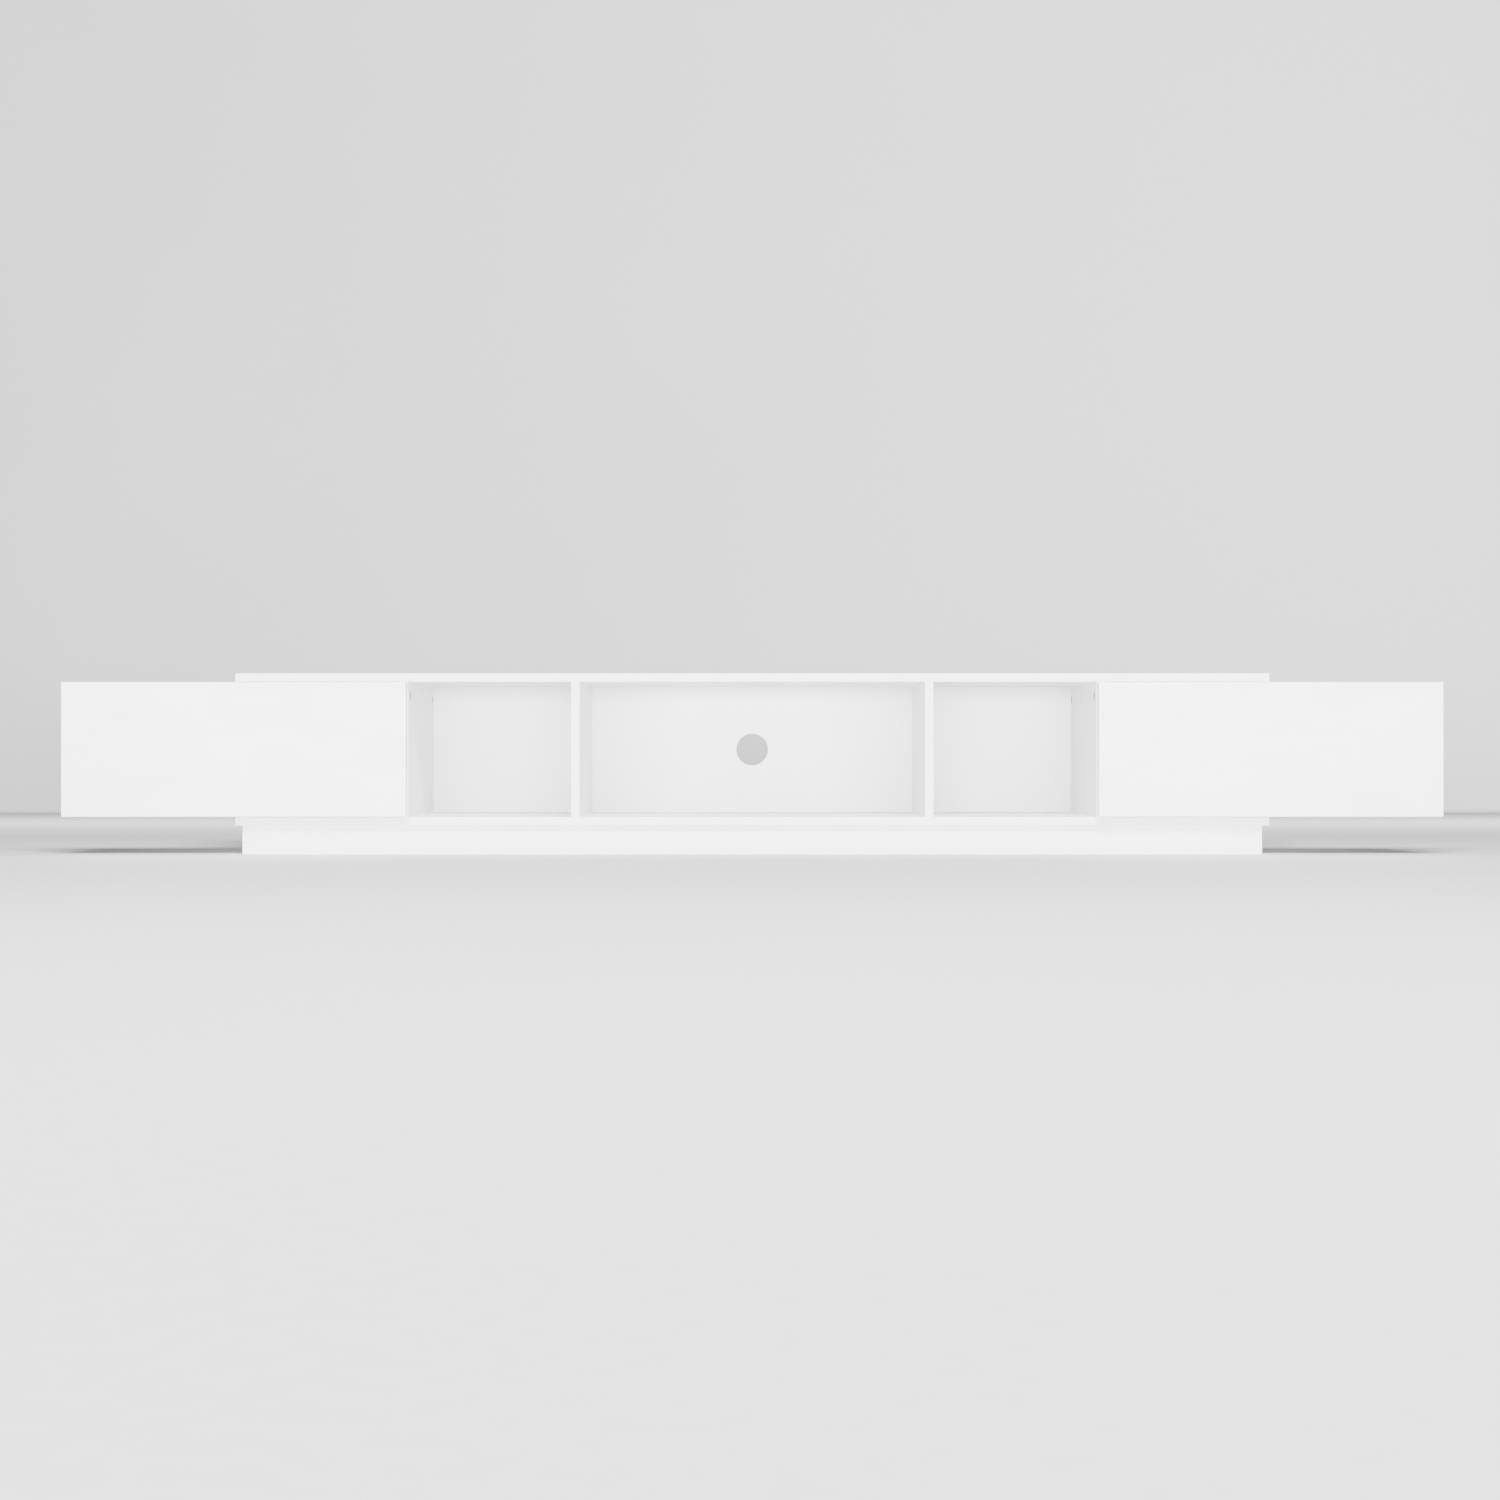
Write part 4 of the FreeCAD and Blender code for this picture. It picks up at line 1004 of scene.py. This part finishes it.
def makeFloor():
    side, front, rear = room["side"], room["front"], room["rear"]
    corners = [(-side, front, 0), (side, front, 0), (side, rear, 0), (-side, rear, 0)]
    # the floor is painted darker towards the front: painted shade
    finish = paleFinish("paleFloor", ("floor", "floorDeep", "nearFloorShade"), 1, room["floorShadeFade"])
    makeStagePlane("floor", corners, finish[0])


def makeWall():
    # a plain wall that neither shades nor lights the room, and can't be seen from behind
    side, rear, height = room["side"], room["rear"], room["height"]
    corners = [(-side, rear, 0), (side, rear, 0), (side, rear, height), (-side, rear, height)]
    # the wall is painted lighter towards the right: painted light
    paints = ("wall", "wallDeep", "wallRightLight")
    material, tree, shader, place, paint = paleFinish("paleWall", paints, 0, room["wallLightFade"])
    up = addNode(tree, "ShaderNodeSeparateXYZ", {0: place}).outputs[2]
    # the wall's bottom 12 mm is painted darker: painted shade where the wall meets the floor
    footShaded = mixColour(tree, ramp(tree, up, 0.0, room["footShadeHeight"]), room["wallFootShade"], paint)
    tree.links.new(footShaded, shader.inputs["Base Color"])
    behind = addNode(tree, "ShaderNodeNewGeometry").outputs["Backfacing"]
    clear = firstOut(tree, "ShaderNodeBsdfTransparent")
    mixed = firstOut(tree, "ShaderNodeMixShader", {0: behind, 1: shader.outputs[0], 2: clear})
    tree.links.new(mixed, tree.nodes["Material Output"].inputs["Surface"])
    wall = makeStagePlane("wall", corners, material)
    wall.visible_shadow = False
    wall.visible_diffuse = False
    wall.visible_glossy = False


def makeSurround():
    # the camera sees a plain grey; everything else is lit by a softer one
    world = bpy.data.worlds.new("surround")
    bpy.context.scene.world = world
    world.use_nodes = True
    tree = world.node_tree
    tree.nodes.clear()
    seen = firstOut(tree, "ShaderNodeBackground", {"Color": room["beyond"], "Strength": 1.0})
    glow = {"Color": room["ambient"], "Strength": room["ambientStrength"]}
    lit = firstOut(tree, "ShaderNodeBackground", glow)
    straight = addNode(tree, "ShaderNodeLightPath").outputs["Is Camera Ray"]
    mixed = firstOut(tree, "ShaderNodeMixShader", {0: straight, 1: lit, 2: seen})
    addNode(tree, "ShaderNodeOutputWorld", {0: mixed})


lamps = {
    "keyLight": {
        "at": (0.4, -4.8, 4.5), "towards": (0, 0, 0.15),
        "size": (4.0, 1.4), "power": 1400,
    },
    "frontLight": {
        "at": (0, -7.0, 0.45), "towards": (0, 0, 0.3),
        "size": (7.0, 0.8), "power": 1520,
    },
    "leftFront": {
        "at": (-5.5, -5.5, 0.5), "towards": (0, 0, 0.2),
        "size": (2.5, 0.9), "power": 105,
    },
    "rightFront": {
        "at": (5.5, -5.5, 0.5), "towards": (0, 0, 0.2),
        "size": (2.5, 0.9), "power": 105,
    },
    "farWash": {
        "at": (0.6, 1.95, 1.3), "towards": (0.6, 1.96, 0),
        "size": (6.0, 0.5), "power": 42, "spread": 90,
    },
    "rearFill": {
        "at": (-1.0, 8.0, 1.2), "towards": (0, 0, 0.2),
        "size": (7.0, 2.0), "power": 500, "piecesOnly": True,
    },
    "leftFill": {
        "at": (-7.0, 1.0, 0.9), "towards": (0, 0, 0.2),
        "size": (3.0, 1.6), "power": 160, "piecesOnly": True,
    },
    "rightFill": {
        "at": (7.0, 1.0, 0.9), "towards": (0, 0, 0.2),
        "size": (3.0, 1.6), "power": 160, "piecesOnly": True,
    },
}
fullSpread = 180


def makeLamp(name, facts):
    light = bpy.data.lights.new(name, "AREA")
    light.shape = "RECTANGLE"
    light.size, light.size_y = facts["size"]
    light.energy = facts["power"]
    light.spread = math.radians(facts.get("spread", fullSpread))
    lamp = bpy.data.objects.new(name, light)
    lamp.location = facts["at"]
    aim = Vector(facts["towards"]) - Vector(facts["at"])
    lamp.rotation_euler = aim.to_track_quat("-Z", "Y").to_euler()
    lamp.visible_camera = False
    bpy.context.collection.objects.link(lamp)
    if facts.get("piecesOnly"):
        lit = bpy.data.collections.new(name + "Receivers")
        for piece in bpy.context.scene.objects:
            if piece.type == "MESH" and piece.name not in ("floor", "wall"):
                lit.objects.link(piece)
        lamp.light_linking.receiver_collection = lit


viewpoint = {"at": (-0.004, -5.055, 0.1815), "pitch": 90, "lens": 66.95, "farthest": 60}


def makeCamera():
    lens = bpy.data.cameras.new("camera")
    lens.lens = viewpoint["lens"]
    lens.clip_end = viewpoint["farthest"]
    camera = bpy.data.objects.new("camera", lens)
    camera.location = viewpoint["at"]
    camera.rotation_euler = (math.radians(viewpoint["pitch"]), 0, 0)
    bpy.context.collection.objects.link(camera)
    bpy.context.scene.camera = camera


makeFloor()
makeWall()
makeSurround()
for name, facts in lamps.items():
    makeLamp(name, facts)
makeCamera()
print("room, lights and camera in place")
